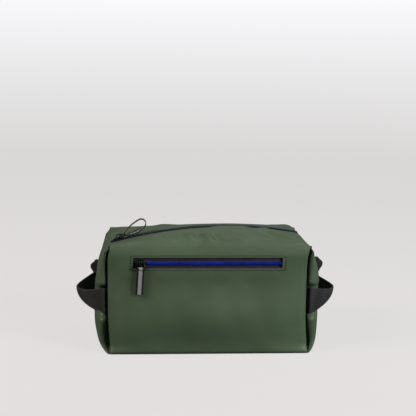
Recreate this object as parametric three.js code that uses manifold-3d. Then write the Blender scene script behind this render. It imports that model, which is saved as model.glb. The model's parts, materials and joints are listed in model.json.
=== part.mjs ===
// Soft wash bag with a full-length top zip, a zipped front pocket and two webbing side handles.
//
// Units are millimetres, +Z is up. The origin is the middle of the base, on the table. The front faces -Y.
// The bag is drawn closed: both zip sliders are parked at their left ends.

import * as THREE from "three";
import { mergeVertices } from "three/addons/utils/BufferGeometryUtils.js";
import Module from "manifold-3d";

const wasm = await Module();
wasm.setup();

// ---------------------------------------------------------------- driving dimensions

// Body
const HALF_WIDTH = 104.5; // middle to the side seams
const HALF_DEPTH = 62.5; // middle to the front and back panels
const EDGE_HEIGHT = 115.5; // table to the folds along the top of the front and back panels
const FOLD_INSET = 3; // the folds lie this far inside the panels, which lean in below them
const FOLD_RISE = 10; // height over which the panels lean in
const CLOTH = 1.6; // shell cloth with its backing foam
const SEAM_GAP = 0.3; // room left between pieces that are sewn together
const SIDE_BULGE = 16.5; // how far the side gussets stand out
const PANEL_BELLY = 3; // how far the front and back panels stand out
const BELLY_DROP = 25.5; // the belly of the panels ends this far below the folds, under the pocket

// Roof: along the zip it is one circular arc
const CROWN_X = 22; // the highest point of the arc, right of the middle
const CROWN_RISE = 12.3; // the highest point above the folds
const ROOF_DROP = 18.14615; // the arc falls this much from its highest point to the left side seam
const LEFT_END = 42; // roof that stays shut at the left end, under the parked puller
const RIGHT_END = 24; // roof that stays shut at the right end

// Inside
const LINING = 0.6;
const LINING_INSET = 2.5; // side and back seams to the lining
const LINING_FRONT_INSET = 9.5; // leaves room for the pocket pouch
const LINING_DROP = 13; // top hem of the lining, below the folds
const BOARD = 1.5; // base stiffener
const BOARD_INSET = 4;

// Zip section, shared by both zips. Heights are above the outer face of the tape.
const TAPE = 0.7;
const TAPE_DEPTH = CLOTH + 0.8; // outer face of the cloth down to the outer face of the tape
const COIL_LOW = 0.3;
const COIL_HIGH = 2.2;
const COIL_GAP = 0.7; // centre line to the inner edge of each coil and tape
const COIL_EDGE = 3.1; // centre line to the outer edge of each coil
const SLIDER_LENGTH = 12;
const SLIDER_HALF_WIDTH = 4.2;
const SLIDER_GAP = 0.4; // running room over the coil and under the tape
const SLIDER_PLATE = 1.0;
const SLIDER_POST = 0.7; // thickness of the post between the two coils
const BRIDGE_HALF_WIDTH = 1.6;
const BRIDGE_HALF_SPAN = 3.6;
const BRIDGE_RISE = 3.6;
const STOP_LENGTH = 1.3;

// Top zip
const MOUTH_HALF_WIDTH = 4.5; // roof edge to the centre line
const MAIN_TAPE_EDGE = 12; // centre line to the sewn edge of the tape
const MAIN_ZIP_INSET_LEFT = 1.2; // side seam to the end of the tape
const MAIN_ZIP_INSET_RIGHT = 5;
const MAIN_PARK_INSET = 9; // side seam to the middle of the parked slider
const MAIN_BRIDGE_SHIFT = 1; // the bridge sits a little towards the closed zip

// Pocket
const WINDOW_WIDTH = 156;
const WINDOW_HEIGHT = 10;
const WINDOW_X = -2.6; // middle of the window
const WINDOW_DROP = 16.4; // middle of the window below the fold
const POCKET_TAPE_EDGE = 8.4;
const POCKET_PARK_INSET = 8; // window end to the middle of the parked slider
const POUCH_WIDTH = 164;
const POUCH_DEPTH = 52; // top hem to bottom fold
const POUCH_ROOM = 5.8; // hollow between the panel and the back of the pouch
const POUCH_CLOTH = 0.8;
const POUCH_HEM_GAP = 0.6; // lower tape edge to the hem of the pouch

// Pullers
const LINK_LENGTH = 6.5; // pivot bar to ribbon bar
const LINK_WIRE = 1.1;
const LINK_TOP_HALF_WIDTH = 3.2;
const RIBBON_WIDTH = 7.6;
const RIBBON_ROOM = 1.8; // ribbon edge to the middle of the link's side wire
const RIBBON_PLY = 0.9;
const RIBBON_EYE = 1.0; // inside radius where the ribbon wraps its bar
const MAIN_LINK_LIFT = 24; // degrees above level
const MAIN_LOOP_LIFT = 37; // degrees above level
const MAIN_LOOP_LENGTH = 22.5;
const MAIN_LOOP_RADIUS = 4.5;
const POCKET_RIBBON_LENGTH = 27;

// Side handles and hang tabs, webbing
const WEBBING = 1.8;
const HANDLE_WEBBING_WIDTH = 28;
const HANDLE_HEIGHT = 54; // middle of the webbing at its sewn front end
const HANDLE_BACK_RISE = 6; // the back end is sewn this much higher
const HANDLE_DROOP = 10.5; // the loop hangs lower in the middle
const HANDLE_ROOT = 2; // side seam to the webbing at its sewn ends
const HANDLE_REACH = 29; // sewn ends to the middle of the loop
const HANDLE_LEAN = 22; // degrees, the top edge leans outwards
const HANDLE_SEAM_INSET = 6; // front and back panels to the sewn ends
const HANDLE_FIXED_LENGTH = 18; // webbing next to each sewn end that stays with the bag
const HANDLE_CUT = 2; // room for the loop to turn beside its still ends
const TAB_WIDTH = 17;
const LEFT_TAB_REACH = 19;
const RIGHT_TAB_REACH = 28; // pulled out straight, where the left one is slack
const TAB_LOOP = 4.4; // outside thickness of the folded tab
const TAB_LOW = 60; // table to the lower edge of the tab
const TAB_INSET = 2; // back panel to the middle of the tab, which stands behind the handle

// ---------------------------------------------------------------- finishes

const finish = (color, roughness, metalness = 0) => ({ color, roughness, metalness });
const COATED_CLOTH = finish(0x47583f, 0.55);
const LINING_CLOTH = finish(0x3a3d42, 0.7);
const STIFF_BOARD = finish(0x55585c, 0.6);
const TAPE_CLOTH = finish(0x26231f, 0.8);
const MAIN_COIL = finish(0x23264a, 0.5);
const BLUE_COIL = finish(0x0b2a9a, 0.45);
const BLACK_METAL = finish(0x1b1b1d, 0.35, 0.8);
const RIBBON = finish(0x3c3c3e, 0.6);
const WEBBING_CLOTH = finish(0x29292b, 0.85);

const bag = new THREE.Group();

/** Adds one named piece to a group. */
function piece(name, geometry, look, parent = bag) {
  const mesh = new THREE.Mesh(geometry, new THREE.MeshStandardMaterial(look));
  mesh.name = name;
  parent.add(mesh);
  return mesh;
}

// ---------------------------------------------------------------- solid helpers

/** Closed solid between two matching faces, each a function (u, v) -> [x, y, z] with u and v from 0 to 1. */
function solidBetween(outer, inner, stepsU, stepsV) {
  const position = [];
  for (const face of [outer, inner]) {
    for (let i = 0; i <= stepsU; i++) {
      for (let j = 0; j <= stepsV; j++) {
        position.push(...face(i / stepsU, j / stepsV));
      }
    }
  }
  const layer = (stepsU + 1) * (stepsV + 1);
  const at = (side, i, j) => side * layer + i * (stepsV + 1) + j;
  const index = [];
  const quad = (a, b, c, d) => index.push(a, b, c, a, c, d);
  for (let i = 0; i < stepsU; i++) {
    for (let j = 0; j < stepsV; j++) {
      quad(at(0, i, j), at(0, i + 1, j), at(0, i + 1, j + 1), at(0, i, j + 1));
      quad(at(1, i, j), at(1, i, j + 1), at(1, i + 1, j + 1), at(1, i + 1, j));
    }
    quad(at(0, i, 0), at(1, i, 0), at(1, i + 1, 0), at(0, i + 1, 0));
    quad(at(0, i, stepsV), at(0, i + 1, stepsV), at(1, i + 1, stepsV), at(1, i, stepsV));
  }
  for (let j = 0; j < stepsV; j++) {
    quad(at(0, 0, j), at(0, 0, j + 1), at(1, 0, j + 1), at(1, 0, j));
    quad(at(0, stepsU, j), at(1, stepsU, j), at(1, stepsU, j + 1), at(0, stepsU, j + 1));
  }
  return facingOut(position, index);
}

/** Indexed geometry with its faces turned outwards. */
function facingOut(position, index) {
  const corner = (k) => new THREE.Vector3().fromArray(position, 3 * index[k]);
  let volume = 0;
  for (let k = 0; k < index.length; k += 3) {
    volume += corner(k).dot(corner(k + 1).cross(corner(k + 2)));
  }
  if (volume < 0) {
    index.reverse();
  }
  const geometry = new THREE.BufferGeometry();
  geometry.setAttribute("position", new THREE.Float32BufferAttribute(position, 3));
  geometry.setIndex(index);
  geometry.computeVertexNormals();
  return geometry;
}

const mix = (from, to, share) => from + (to - from) * share;

/** Manifold solid of a closed geometry. */
function toSolid(geometry) {
  const bare = geometry.clone();
  bare.deleteAttribute("normal");
  bare.deleteAttribute("uv");
  const merged = mergeVertices(bare, 1e-4);
  return new wasm.Manifold(
    new wasm.Mesh({
      numProp: 3,
      vertProperties: new Float32Array(merged.attributes.position.array),
      triVerts: new Uint32Array(merged.index.array),
    }),
  );
}

/** Geometry of a manifold solid. */
function toGeometry(solid) {
  const mesh = solid.getMesh();
  const geometry = new THREE.BufferGeometry();
  geometry.setAttribute("position", new THREE.BufferAttribute(new Float32Array(mesh.vertProperties), 3));
  geometry.setIndex(new THREE.BufferAttribute(new Uint32Array(mesh.triVerts), 1));
  geometry.computeVertexNormals();
  return geometry;
}

/** Box between two corners. */
function box(low, high) {
  const [x, y, z] = low.map((value, axis) => high[axis] - value);
  const geometry = new THREE.BoxGeometry(x, y, z);
  return geometry.translate(low[0] + x / 2, low[1] + y / 2, low[2] + z / 2);
}

/** Outline round two circles, r1 at the origin and r2 at distance length along +X, with straight sides. */
function teardrop(path, r1, r2, length) {
  const turn = Math.acos((r1 - r2) / length);
  path.moveTo(length + r2 * Math.cos(-turn), r2 * Math.sin(-turn));
  path.absarc(length, 0, r2, -turn, turn, false);
  path.lineTo(r1 * Math.cos(turn), r1 * Math.sin(turn));
  path.absarc(0, 0, r1, turn, 2 * Math.PI - turn, false);
  path.closePath();
  return path;
}

/** Extrusion of a shape in the X-Z plane, centred on Y. */
function slab(shape, width, curveSegments) {
  const geometry = new THREE.ExtrudeGeometry(shape, { depth: width, bevelEnabled: false, curveSegments });
  return geometry.translate(0, 0, -width / 2).rotateX(Math.PI / 2);
}

// ---------------------------------------------------------------- body surfaces

const ROOF_RADIUS = ((HALF_WIDTH + CROWN_X) ** 2 + ROOF_DROP ** 2) / (2 * ROOF_DROP);
const ARC_Z = EDGE_HEIGHT + CROWN_RISE - ROOF_RADIUS; // centre of the zip's arc
const arcHeight = (x) => ARC_Z + Math.sqrt(ROOF_RADIUS ** 2 - (x - CROWN_X) ** 2);

const FOLD_Y = HALF_DEPTH - FOLD_INSET;

/** Outer height of the roof: the arc along the zip, falling as a parabola to the folds. */
const roofHeight = (x, y) => mix(EDGE_HEIGHT, arcHeight(x), 1 - (y / FOLD_Y) ** 2);

/** How far the front or back panel leans in below its fold. */
const leanAt = (z) => FOLD_INSET * Math.max(0, 1 - (EDGE_HEIGHT - z) / FOLD_RISE) ** 2;

const BELLY_HEIGHT = EDGE_HEIGHT - BELLY_DROP;

/** How far the front or back panel stands out: flat-topped across, one soft wave up to the belly's end. */
function bellyAt(x, z) {
  const across = 1 - (x / HALF_WIDTH) ** 4;
  const up = z < BELLY_HEIGHT ? Math.sin((Math.PI * z) / BELLY_HEIGHT) ** 2 : 0;
  return PANEL_BELLY * across * up;
}

/** How far a gusset stands out: one wave from front to back, fullest below the middle of its height. */
function bulgeAt(y, z) {
  const along = Math.cos((Math.PI * y) / (2 * HALF_DEPTH)) ** 2;
  const up = Math.sin(Math.PI * Math.min(1, z / EDGE_HEIGHT) ** 0.756);
  return SIDE_BULGE * along * up;
}

const WALL_FOOT = CLOTH + SEAM_GAP; // the walls start on the base panel
const PANEL_TOP = EDGE_HEIGHT - CLOTH - SEAM_GAP; // and end under the roof

/** Front (side -1) or back (side 1) wall. */
function wallPanel(side) {
  const face = (inset) => (u, v) => {
    const x = mix(-HALF_WIDTH, HALF_WIDTH, u);
    const z = mix(WALL_FOOT, PANEL_TOP, v);
    return [x, side * (HALF_DEPTH + bellyAt(x, z) - leanAt(z) - inset), z];
  };
  return solidBetween(face(0), face(CLOTH), 18, 14);
}

/** Left (side -1) or right (side 1) gusset, between the front and back walls. */
function gusset(side) {
  const face = (inset) => (u, v) => {
    const reach = HALF_DEPTH - leanAt(mix(WALL_FOOT, EDGE_HEIGHT, v)) - CLOTH - SEAM_GAP;
    const y = mix(-reach, reach, u);
    const top = roofHeight(side * HALF_WIDTH, y) - CLOTH - SEAM_GAP;
    const z = mix(WALL_FOOT, top, v);
    return [side * (HALF_WIDTH + bulgeAt(y, z) - inset), y, z];
  };
  return solidBetween(face(0), face(CLOTH), 16, 14);
}

/** Part of the roof between two places along the zip, on the front (side -1) or back (side 1). */
function roofPart(side, fromX, toX, steps) {
  const face = (inset) => (u, v) => {
    const x = mix(fromX, toX, u);
    const y = side * mix(FOLD_Y, MOUTH_HALF_WIDTH, v);
    return [x, y, roofHeight(x, y) - inset];
  };
  return solidBetween(face(0), face(CLOTH), steps, 10);
}

piece("base_panel", box([-HALF_WIDTH, -HALF_DEPTH, 0], [HALF_WIDTH, HALF_DEPTH, CLOTH]), COATED_CLOTH);
piece("back_panel", wallPanel(1), COATED_CLOTH);
piece("left_gusset", gusset(-1), COATED_CLOTH);
piece("right_gusset", gusset(1), COATED_CLOTH);

const WINDOW_Z = EDGE_HEIGHT - WINDOW_DROP;
const windowCut = box(
  [WINDOW_X - WINDOW_WIDTH / 2, -HALF_DEPTH - CLOTH, WINDOW_Z - WINDOW_HEIGHT / 2],
  [WINDOW_X + WINDOW_WIDTH / 2, -HALF_DEPTH + 2 * CLOTH, WINDOW_Z + WINDOW_HEIGHT / 2],
);
piece("front_panel", toGeometry(toSolid(wallPanel(-1)).subtract(toSolid(windowCut))), COATED_CLOTH);

// The roof is cut where its sides start to open: the ends stay shut, the two flaps swing on the folds.
const FLAP_FROM = -HALF_WIDTH + LEFT_END;
const FLAP_TO = HALF_WIDTH - RIGHT_END;
for (const [side, name] of [[-1, "front"], [1, "back"]]) {
  piece(`top_left_end_${name}`, roofPart(side, -HALF_WIDTH, FLAP_FROM - SEAM_GAP, 4), COATED_CLOTH);
  piece(`top_${name}_flap`, roofPart(side, FLAP_FROM, FLAP_TO, 14), COATED_CLOTH);
  piece(`top_right_end_${name}`, roofPart(side, FLAP_TO + SEAM_GAP, HALF_WIDTH, 3), COATED_CLOTH);
}

// ---------------------------------------------------------------- lining and base board

const BOARD_TOP = WALL_FOOT + BOARD;
piece(
  "base_board",
  box(
    [-HALF_WIDTH + BOARD_INSET, -HALF_DEPTH + BOARD_INSET, WALL_FOOT],
    [HALF_WIDTH - BOARD_INSET, HALF_DEPTH - BOARD_INSET, BOARD_TOP],
  ),
  STIFF_BOARD,
);

/** Open-topped box with even walls. */
function openBox(low, high, wall) {
  const hollow = box(low.map((value) => value + wall), [high[0] - wall, high[1] - wall, high[2] + wall]);
  return toGeometry(toSolid(box(low, high)).subtract(toSolid(hollow)));
}

piece(
  "lining",
  openBox(
    [-HALF_WIDTH + LINING_INSET, -HALF_DEPTH + LINING_FRONT_INSET, BOARD_TOP + SEAM_GAP],
    [HALF_WIDTH - LINING_INSET, HALF_DEPTH - LINING_INSET, EDGE_HEIGHT - LINING_DROP],
    LINING,
  ),
  LINING_CLOTH,
);

// ---------------------------------------------------------------- zip hardware

const PLATE_LOW = COIL_HIGH + SLIDER_GAP;
const PLATE_HIGH = PLATE_LOW + SLIDER_PLATE;
const PIVOT_HEIGHT = PLATE_HIGH + 1.6; // pivot bar under the bridge
const LINK_END_HALF_WIDTH = RIBBON_WIDTH / 2 + RIBBON_ROOM;

/**
 * Zip slider in its own frame: X along the zip, Z out of the tape. Two plates joined by a post that runs between
 * the coils, and an arched bridge that lies along the zip, or across it when turned.
 */
function sliderBody(bridgeX, bridgeTurned) {
  const nose = (low, high) => {
    const shape = new THREE.Shape();
    const end = SLIDER_LENGTH / 2;
    shape.moveTo(-end, -SLIDER_HALF_WIDTH + 1);
    shape.lineTo(-end + 1, -SLIDER_HALF_WIDTH);
    shape.lineTo(0, -SLIDER_HALF_WIDTH);
    shape.lineTo(end, -SLIDER_HALF_WIDTH + 1.2);
    shape.lineTo(end, SLIDER_HALF_WIDTH - 1.2);
    shape.lineTo(0, SLIDER_HALF_WIDTH);
    shape.lineTo(-end + 1, SLIDER_HALF_WIDTH);
    shape.lineTo(-end, SLIDER_HALF_WIDTH - 1);
    shape.closePath();
    const plate = new THREE.ExtrudeGeometry(shape, { depth: high - low, bevelEnabled: false });
    return toSolid(plate.translate(0, 0, low));
  };
  const under = -TAPE - SLIDER_GAP;
  const post = box(
    [-SLIDER_LENGTH / 2 + 0.5, -SLIDER_POST / 2, under - SLIDER_PLATE / 2],
    [-SLIDER_LENGTH / 2 + 3.5, SLIDER_POST / 2, PLATE_LOW + SLIDER_PLATE / 2],
  );
  const arch = new THREE.Shape();
  arch.moveTo(-BRIDGE_HALF_SPAN, PLATE_HIGH - SLIDER_PLATE / 2);
  arch.lineTo(-BRIDGE_HALF_SPAN, PLATE_HIGH + BRIDGE_RISE - 1);
  arch.lineTo(-BRIDGE_HALF_SPAN + 1, PLATE_HIGH + BRIDGE_RISE);
  arch.lineTo(BRIDGE_HALF_SPAN - 1, PLATE_HIGH + BRIDGE_RISE);
  arch.lineTo(BRIDGE_HALF_SPAN, PLATE_HIGH + BRIDGE_RISE - 1);
  arch.lineTo(BRIDGE_HALF_SPAN, PLATE_HIGH - SLIDER_PLATE / 2);
  arch.lineTo(BRIDGE_HALF_SPAN - 1, PLATE_HIGH - SLIDER_PLATE / 2);
  arch.lineTo(BRIDGE_HALF_SPAN - 1, PLATE_HIGH + BRIDGE_RISE - 1);
  arch.lineTo(-BRIDGE_HALF_SPAN + 1, PLATE_HIGH + BRIDGE_RISE - 1);
  arch.lineTo(-BRIDGE_HALF_SPAN + 1, PLATE_HIGH - SLIDER_PLATE / 2);
  arch.closePath();
  const bridge = slab(arch, 2 * BRIDGE_HALF_WIDTH, 1);
  if (bridgeTurned) {
    bridge.rotateZ(Math.PI / 2);
  }
  bridge.translate(bridgeX, 0, 0);
  return toGeometry(
    nose(PLATE_LOW, PLATE_HIGH)
      .add(nose(under - SLIDER_PLATE, under))
      .add(toSolid(post))
      .add(toSolid(bridge)),
  );
}

/** Puller link in its own frame: pivot bar on Y at the origin, ribbon bar at +X, wider at the ribbon. */
function pullLink() {
  const half = LINK_WIRE / 2;
  const frame = new THREE.Shape();
  frame.moveTo(-half, -LINK_TOP_HALF_WIDTH);
  frame.lineTo(LINK_LENGTH + half, -LINK_END_HALF_WIDTH);
  frame.lineTo(LINK_LENGTH + half, LINK_END_HALF_WIDTH);
  frame.lineTo(-half, LINK_TOP_HALF_WIDTH);
  frame.closePath();
  const hole = new THREE.Path();
  hole.moveTo(half, -LINK_TOP_HALF_WIDTH + 1);
  hole.lineTo(half, LINK_TOP_HALF_WIDTH - 1);
  hole.lineTo(LINK_LENGTH - half, LINK_END_HALF_WIDTH - 1);
  hole.lineTo(LINK_LENGTH - half, -LINK_END_HALF_WIDTH + 1);
  hole.closePath();
  frame.holes.push(hole);
  const geometry = new THREE.ExtrudeGeometry(frame, { depth: LINK_WIRE, bevelEnabled: false });
  return geometry.translate(0, 0, -half);
}

/** Ribbon loop, open as a teardrop, with the ribbon bar in its narrow end. */
function ribbonLoop() {
  const shape = teardrop(
    new THREE.Shape(), RIBBON_EYE + RIBBON_PLY, MAIN_LOOP_RADIUS + RIBBON_PLY, MAIN_LOOP_LENGTH,
  );
  shape.holes.push(teardrop(new THREE.Path(), RIBBON_EYE, MAIN_LOOP_RADIUS, MAIN_LOOP_LENGTH));
  return slab(shape, RIBBON_WIDTH, 12);
}

/** Ribbon folded flat, with an eye round the ribbon bar. */
function ribbonTail() {
  const eye = RIBBON_EYE + RIBBON_PLY;
  const half = RIBBON_PLY;
  const turn = Math.asin(half / eye);
  const shape = new THREE.Shape();
  shape.moveTo(POCKET_RIBBON_LENGTH, half);
  shape.lineTo(eye * Math.cos(turn), half);
  shape.absarc(0, 0, eye, turn, 2 * Math.PI - turn, false);
  shape.lineTo(POCKET_RIBBON_LENGTH, -half);
  shape.closePath();
  const hole = new THREE.Path();
  hole.absarc(0, 0, RIBBON_EYE, 0, 2 * Math.PI, true);
  shape.holes.push(hole);
  return slab(shape, RIBBON_WIDTH, 10);
}

const degrees = THREE.MathUtils.degToRad;

// ---------------------------------------------------------------- top zip

const MAIN_TAPE_RADIUS = ROOF_RADIUS - TAPE_DEPTH; // outer face of the tape
const angleAt = (x) => Math.asin((x - CROWN_X) / ROOF_RADIUS);

/** Strip that follows the zip's arc between two places, two distances from the centre line and two heights. */
function arcStrip(fromX, toX, side, near, far, low, high, steps) {
  const face = (height) => (u, v) => {
    const angle = mix(angleAt(fromX), angleAt(toX), u);
    const radius = MAIN_TAPE_RADIUS + height;
    return [CROWN_X + radius * Math.sin(angle), side * mix(near, far, v), ARC_Z + radius * Math.cos(angle)];
  };
  return solidBetween(face(high), face(low), steps, 1);
}

const MAIN_FROM = -HALF_WIDTH + MAIN_ZIP_INSET_LEFT;
const MAIN_TO = HALF_WIDTH - MAIN_ZIP_INSET_RIGHT;
const COIL_FROM = MAIN_FROM + STOP_LENGTH + SEAM_GAP;
const COIL_TO = MAIN_TO - STOP_LENGTH - SEAM_GAP;

for (const [side, name] of [[-1, "front"], [1, "back"]]) {
  const runs = [
    ["left", MAIN_FROM, COIL_FROM, FLAP_FROM - SEAM_GAP, 8],
    ["middle", FLAP_FROM, FLAP_FROM, FLAP_TO, 24],
    ["right", FLAP_TO + SEAM_GAP, FLAP_TO + SEAM_GAP, MAIN_TO, 5],
  ];
  for (const [run, tapeFrom, coilFrom, to, steps] of runs) {
    piece(
      `main_tape_${name}_${run}`,
      arcStrip(tapeFrom, to, side, COIL_GAP, MAIN_TAPE_EDGE, -TAPE, 0, steps),
      TAPE_CLOTH,
    );
    piece(
      `main_coil_${name}_${run}`,
      arcStrip(coilFrom, Math.min(to, COIL_TO), side, COIL_GAP, COIL_EDGE, COIL_LOW, COIL_HIGH, steps),
      MAIN_COIL,
    );
  }
  piece(
    `main_top_stop_${name}`,
    arcStrip(MAIN_FROM, MAIN_FROM + STOP_LENGTH, side, COIL_GAP, COIL_EDGE, COIL_LOW, COIL_HIGH, 1),
    BLACK_METAL,
  );
}
piece(
  "main_bottom_stop",
  arcStrip(MAIN_TO - STOP_LENGTH, MAIN_TO, 1, -COIL_EDGE, COIL_EDGE, COIL_LOW, COIL_HIGH, 1),
  BLACK_METAL,
);

const mainSliderFrame = new THREE.Group();
const parkAngle = angleAt(-HALF_WIDTH + MAIN_PARK_INSET);
mainSliderFrame.position.set(
  CROWN_X + MAIN_TAPE_RADIUS * Math.sin(parkAngle),
  0,
  ARC_Z + MAIN_TAPE_RADIUS * Math.cos(parkAngle),
);
mainSliderFrame.rotation.y = parkAngle;
bag.add(mainSliderFrame);
piece("main_slider", sliderBody(MAIN_BRIDGE_SHIFT, false), BLACK_METAL, mainSliderFrame);

const mainPullFrame = new THREE.Group();
mainPullFrame.position.set(MAIN_BRIDGE_SHIFT, 0, PIVOT_HEIGHT);
mainPullFrame.rotation.y = -degrees(MAIN_LINK_LIFT) - parkAngle;
mainSliderFrame.add(mainPullFrame);
piece("main_pull_link", pullLink(), BLACK_METAL, mainPullFrame);
const mainRibbon = piece("main_pull_ribbon", ribbonLoop(), RIBBON, mainPullFrame);
mainRibbon.position.x = LINK_LENGTH;
mainRibbon.rotation.y = -degrees(MAIN_LOOP_LIFT - MAIN_LINK_LIFT);

// ---------------------------------------------------------------- pocket zip and pouch

const WINDOW_FROM = WINDOW_X - WINDOW_WIDTH / 2;
const WINDOW_TO = WINDOW_X + WINDOW_WIDTH / 2;
const POCKET_TAPE_Y = -HALF_DEPTH + TAPE_DEPTH; // outer face of the tape

/** Straight strip of the pocket zip: two places along it, two heights off its centre line, two off its tape. */
function pocketStrip(fromX, toX, low, high, inner, outer) {
  return box([fromX, POCKET_TAPE_Y - outer, WINDOW_Z + low], [toX, POCKET_TAPE_Y - inner, WINDOW_Z + high]);
}

const STOP_ROOM = STOP_LENGTH + SEAM_GAP;
for (const [side, name] of [[1, "upper"], [-1, "lower"]]) {
  const span = (near, far) => [side * near, side * far].sort((a, b) => a - b);
  piece(
    `pocket_tape_${name}`,
    pocketStrip(WINDOW_FROM - 4, WINDOW_TO + 4, ...span(COIL_GAP, POCKET_TAPE_EDGE), -TAPE, 0),
    TAPE_CLOTH,
  );
  piece(
    `pocket_coil_${name}`,
    pocketStrip(
      WINDOW_FROM + STOP_ROOM, WINDOW_TO - STOP_ROOM, ...span(COIL_GAP, COIL_EDGE), COIL_LOW, COIL_HIGH,
    ),
    BLUE_COIL,
  );
  piece(
    `pocket_top_stop_${name}`,
    pocketStrip(
      WINDOW_FROM + SEAM_GAP, WINDOW_FROM + STOP_LENGTH, ...span(COIL_GAP, COIL_EDGE), COIL_LOW, COIL_HIGH,
    ),
    BLACK_METAL,
  );
}
piece(
  "pocket_bottom_stop",
  pocketStrip(WINDOW_TO - STOP_LENGTH, WINDOW_TO - SEAM_GAP, -COIL_EDGE, COIL_EDGE, COIL_LOW, COIL_HIGH),
  BLACK_METAL,
);

const pocketSliderFrame = new THREE.Group();
pocketSliderFrame.position.set(WINDOW_FROM + POCKET_PARK_INSET, POCKET_TAPE_Y, WINDOW_Z);
pocketSliderFrame.rotation.x = Math.PI / 2;
bag.add(pocketSliderFrame);
piece("pocket_slider", sliderBody(0, true), BLACK_METAL, pocketSliderFrame);

const pocketPullFrame = new THREE.Group();
pocketPullFrame.position.set(0, 0, PIVOT_HEIGHT);
pocketPullFrame.rotation.z = -Math.PI / 2;
pocketSliderFrame.add(pocketPullFrame);
piece("pocket_pull_link", pullLink(), BLACK_METAL, pocketPullFrame);
const pocketRibbon = piece("pocket_pull_ribbon", ribbonTail(), RIBBON, pocketPullFrame);
pocketRibbon.position.x = LINK_LENGTH;

// The pouch hangs behind the panel, open at its hem: a shallow tray facing the panel.
const POUCH_FRONT = -HALF_DEPTH + CLOTH + SEAM_GAP;
const POUCH_BACK = POUCH_FRONT + POUCH_ROOM + POUCH_CLOTH;
const POUCH_TOP = WINDOW_Z - POCKET_TAPE_EDGE - POUCH_HEM_GAP;
const pouchLow = [WINDOW_X - POUCH_WIDTH / 2, POUCH_FRONT, POUCH_TOP - POUCH_DEPTH];
const pouchHigh = [WINDOW_X + POUCH_WIDTH / 2, POUCH_BACK, POUCH_TOP];
const pouchHollow = box(
  [pouchLow[0] + POUCH_CLOTH, POUCH_FRONT - 1, pouchLow[2] + POUCH_CLOTH],
  [pouchHigh[0] - POUCH_CLOTH, POUCH_BACK - POUCH_CLOTH, POUCH_TOP + 1],
);
piece(
  "pocket_pouch",
  toGeometry(toSolid(box(pouchLow, pouchHigh)).subtract(toSolid(pouchHollow))),
  LINING_CLOTH,
);

// ---------------------------------------------------------------- side handles

const SEWN_Y = HALF_DEPTH - HANDLE_SEAM_INSET;

/** Middle of a handle's webbing at a place from front to back: a wide arch that droops in the middle. */
function handleCentre(side, y) {
  const share = Math.abs(y) / SEWN_Y;
  const x = HALF_WIDTH + HANDLE_ROOT + HANDLE_REACH * (1 - share ** 1.7);
  const rise = (HANDLE_BACK_RISE * (1 + y / SEWN_Y)) / 2;
  return new THREE.Vector3(side * x, y, HANDLE_HEIGHT + rise - HANDLE_DROOP * (1 - share ** 2));
}

/** Webbing between two places from front to back. Its top edge leans outwards, most in the middle. */
function webbing(side, fromY, toY, steps) {
  const face = (offset) => (u, v) => {
    const y = mix(fromY, toY, u);
    const lean = degrees(HANDLE_LEAN) * (1 - (y / SEWN_Y) ** 2);
    const across = new THREE.Vector3(side * Math.sin(lean), 0, Math.cos(lean));
    const along = handleCentre(side, y + 0.5).sub(handleCentre(side, y - 0.5)).normalize();
    const out = new THREE.Vector3().crossVectors(along, across).normalize().multiplyScalar(side);
    const point = handleCentre(side, y)
      .addScaledVector(across, HANDLE_WEBBING_WIDTH * (v - 0.5))
      .addScaledVector(out, offset);
    return point.toArray();
  };
  return solidBetween(face(WEBBING / 2), face(-WEBBING / 2), steps, 2);
}

/** Folded hang tab: a flat loop of webbing that stands out from the side, behind the handle's back end. */
function hangTab(side) {
  const inner = TAB_LOOP / 2 - WEBBING;
  const reach = side > 0 ? RIGHT_TAB_REACH : LEFT_TAB_REACH;
  const shape = teardrop(new THREE.Shape(), TAB_LOOP / 2, TAB_LOOP / 2, reach);
  shape.holes.push(teardrop(new THREE.Path(), inner, inner, reach));
  const band = new THREE.ExtrudeGeometry(shape, { depth: TAB_WIDTH, bevelEnabled: false, curveSegments: 8 });
  const x = HALF_WIDTH + bulgeAt(HALF_DEPTH - TAB_INSET, TAB_LOW) + TAB_LOOP / 2 + SEAM_GAP;
  return band.rotateY(side > 0 ? 0 : Math.PI).translate(
    side * x, HALF_DEPTH - TAB_INSET, side > 0 ? TAB_LOW : TAB_LOW + TAB_WIDTH,
  );
}

const MOVING_Y = SEWN_Y - HANDLE_FIXED_LENGTH;
for (const [side, name] of [[-1, "left"], [1, "right"]]) {
  piece(`${name}_handle`, webbing(side, -MOVING_Y, MOVING_Y, 20), WEBBING_CLOTH);
  piece(`${name}_handle_front_end`, webbing(side, -SEWN_Y, -MOVING_Y - HANDLE_CUT, 5), WEBBING_CLOTH);
  piece(`${name}_handle_back_end`, webbing(side, MOVING_Y + HANDLE_CUT, SEWN_Y, 5), WEBBING_CLOTH);
  piece(`${name}_hang_tab`, hangTab(side), WEBBING_CLOTH);
}

export default bag;
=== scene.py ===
"""Looks of a soft, boxy wash bag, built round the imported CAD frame.

The bag is a sewn shell of rubber-coated cloth: a front and a back panel whose side edges fold back into a crease, two
gussets that swell between the creases, and a roof that is parted by an arched zip. A second zip closes the front
pocket, and each side has a webbing handle and a folded hang tab.

Lengths are millimetres in this file, in the CAD frame: +X to the bag's right as seen from the front, the front faces
-Y, +Z is up, the origin is the middle of the base. MeshPart.build turns them into metres.
"""

import functools
import json
import logging
import math
from dataclasses import dataclass, field
from enum import Enum
from typing import Any, Sequence

import bpy
import numpy as np
from mathutils import Matrix, Vector

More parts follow.
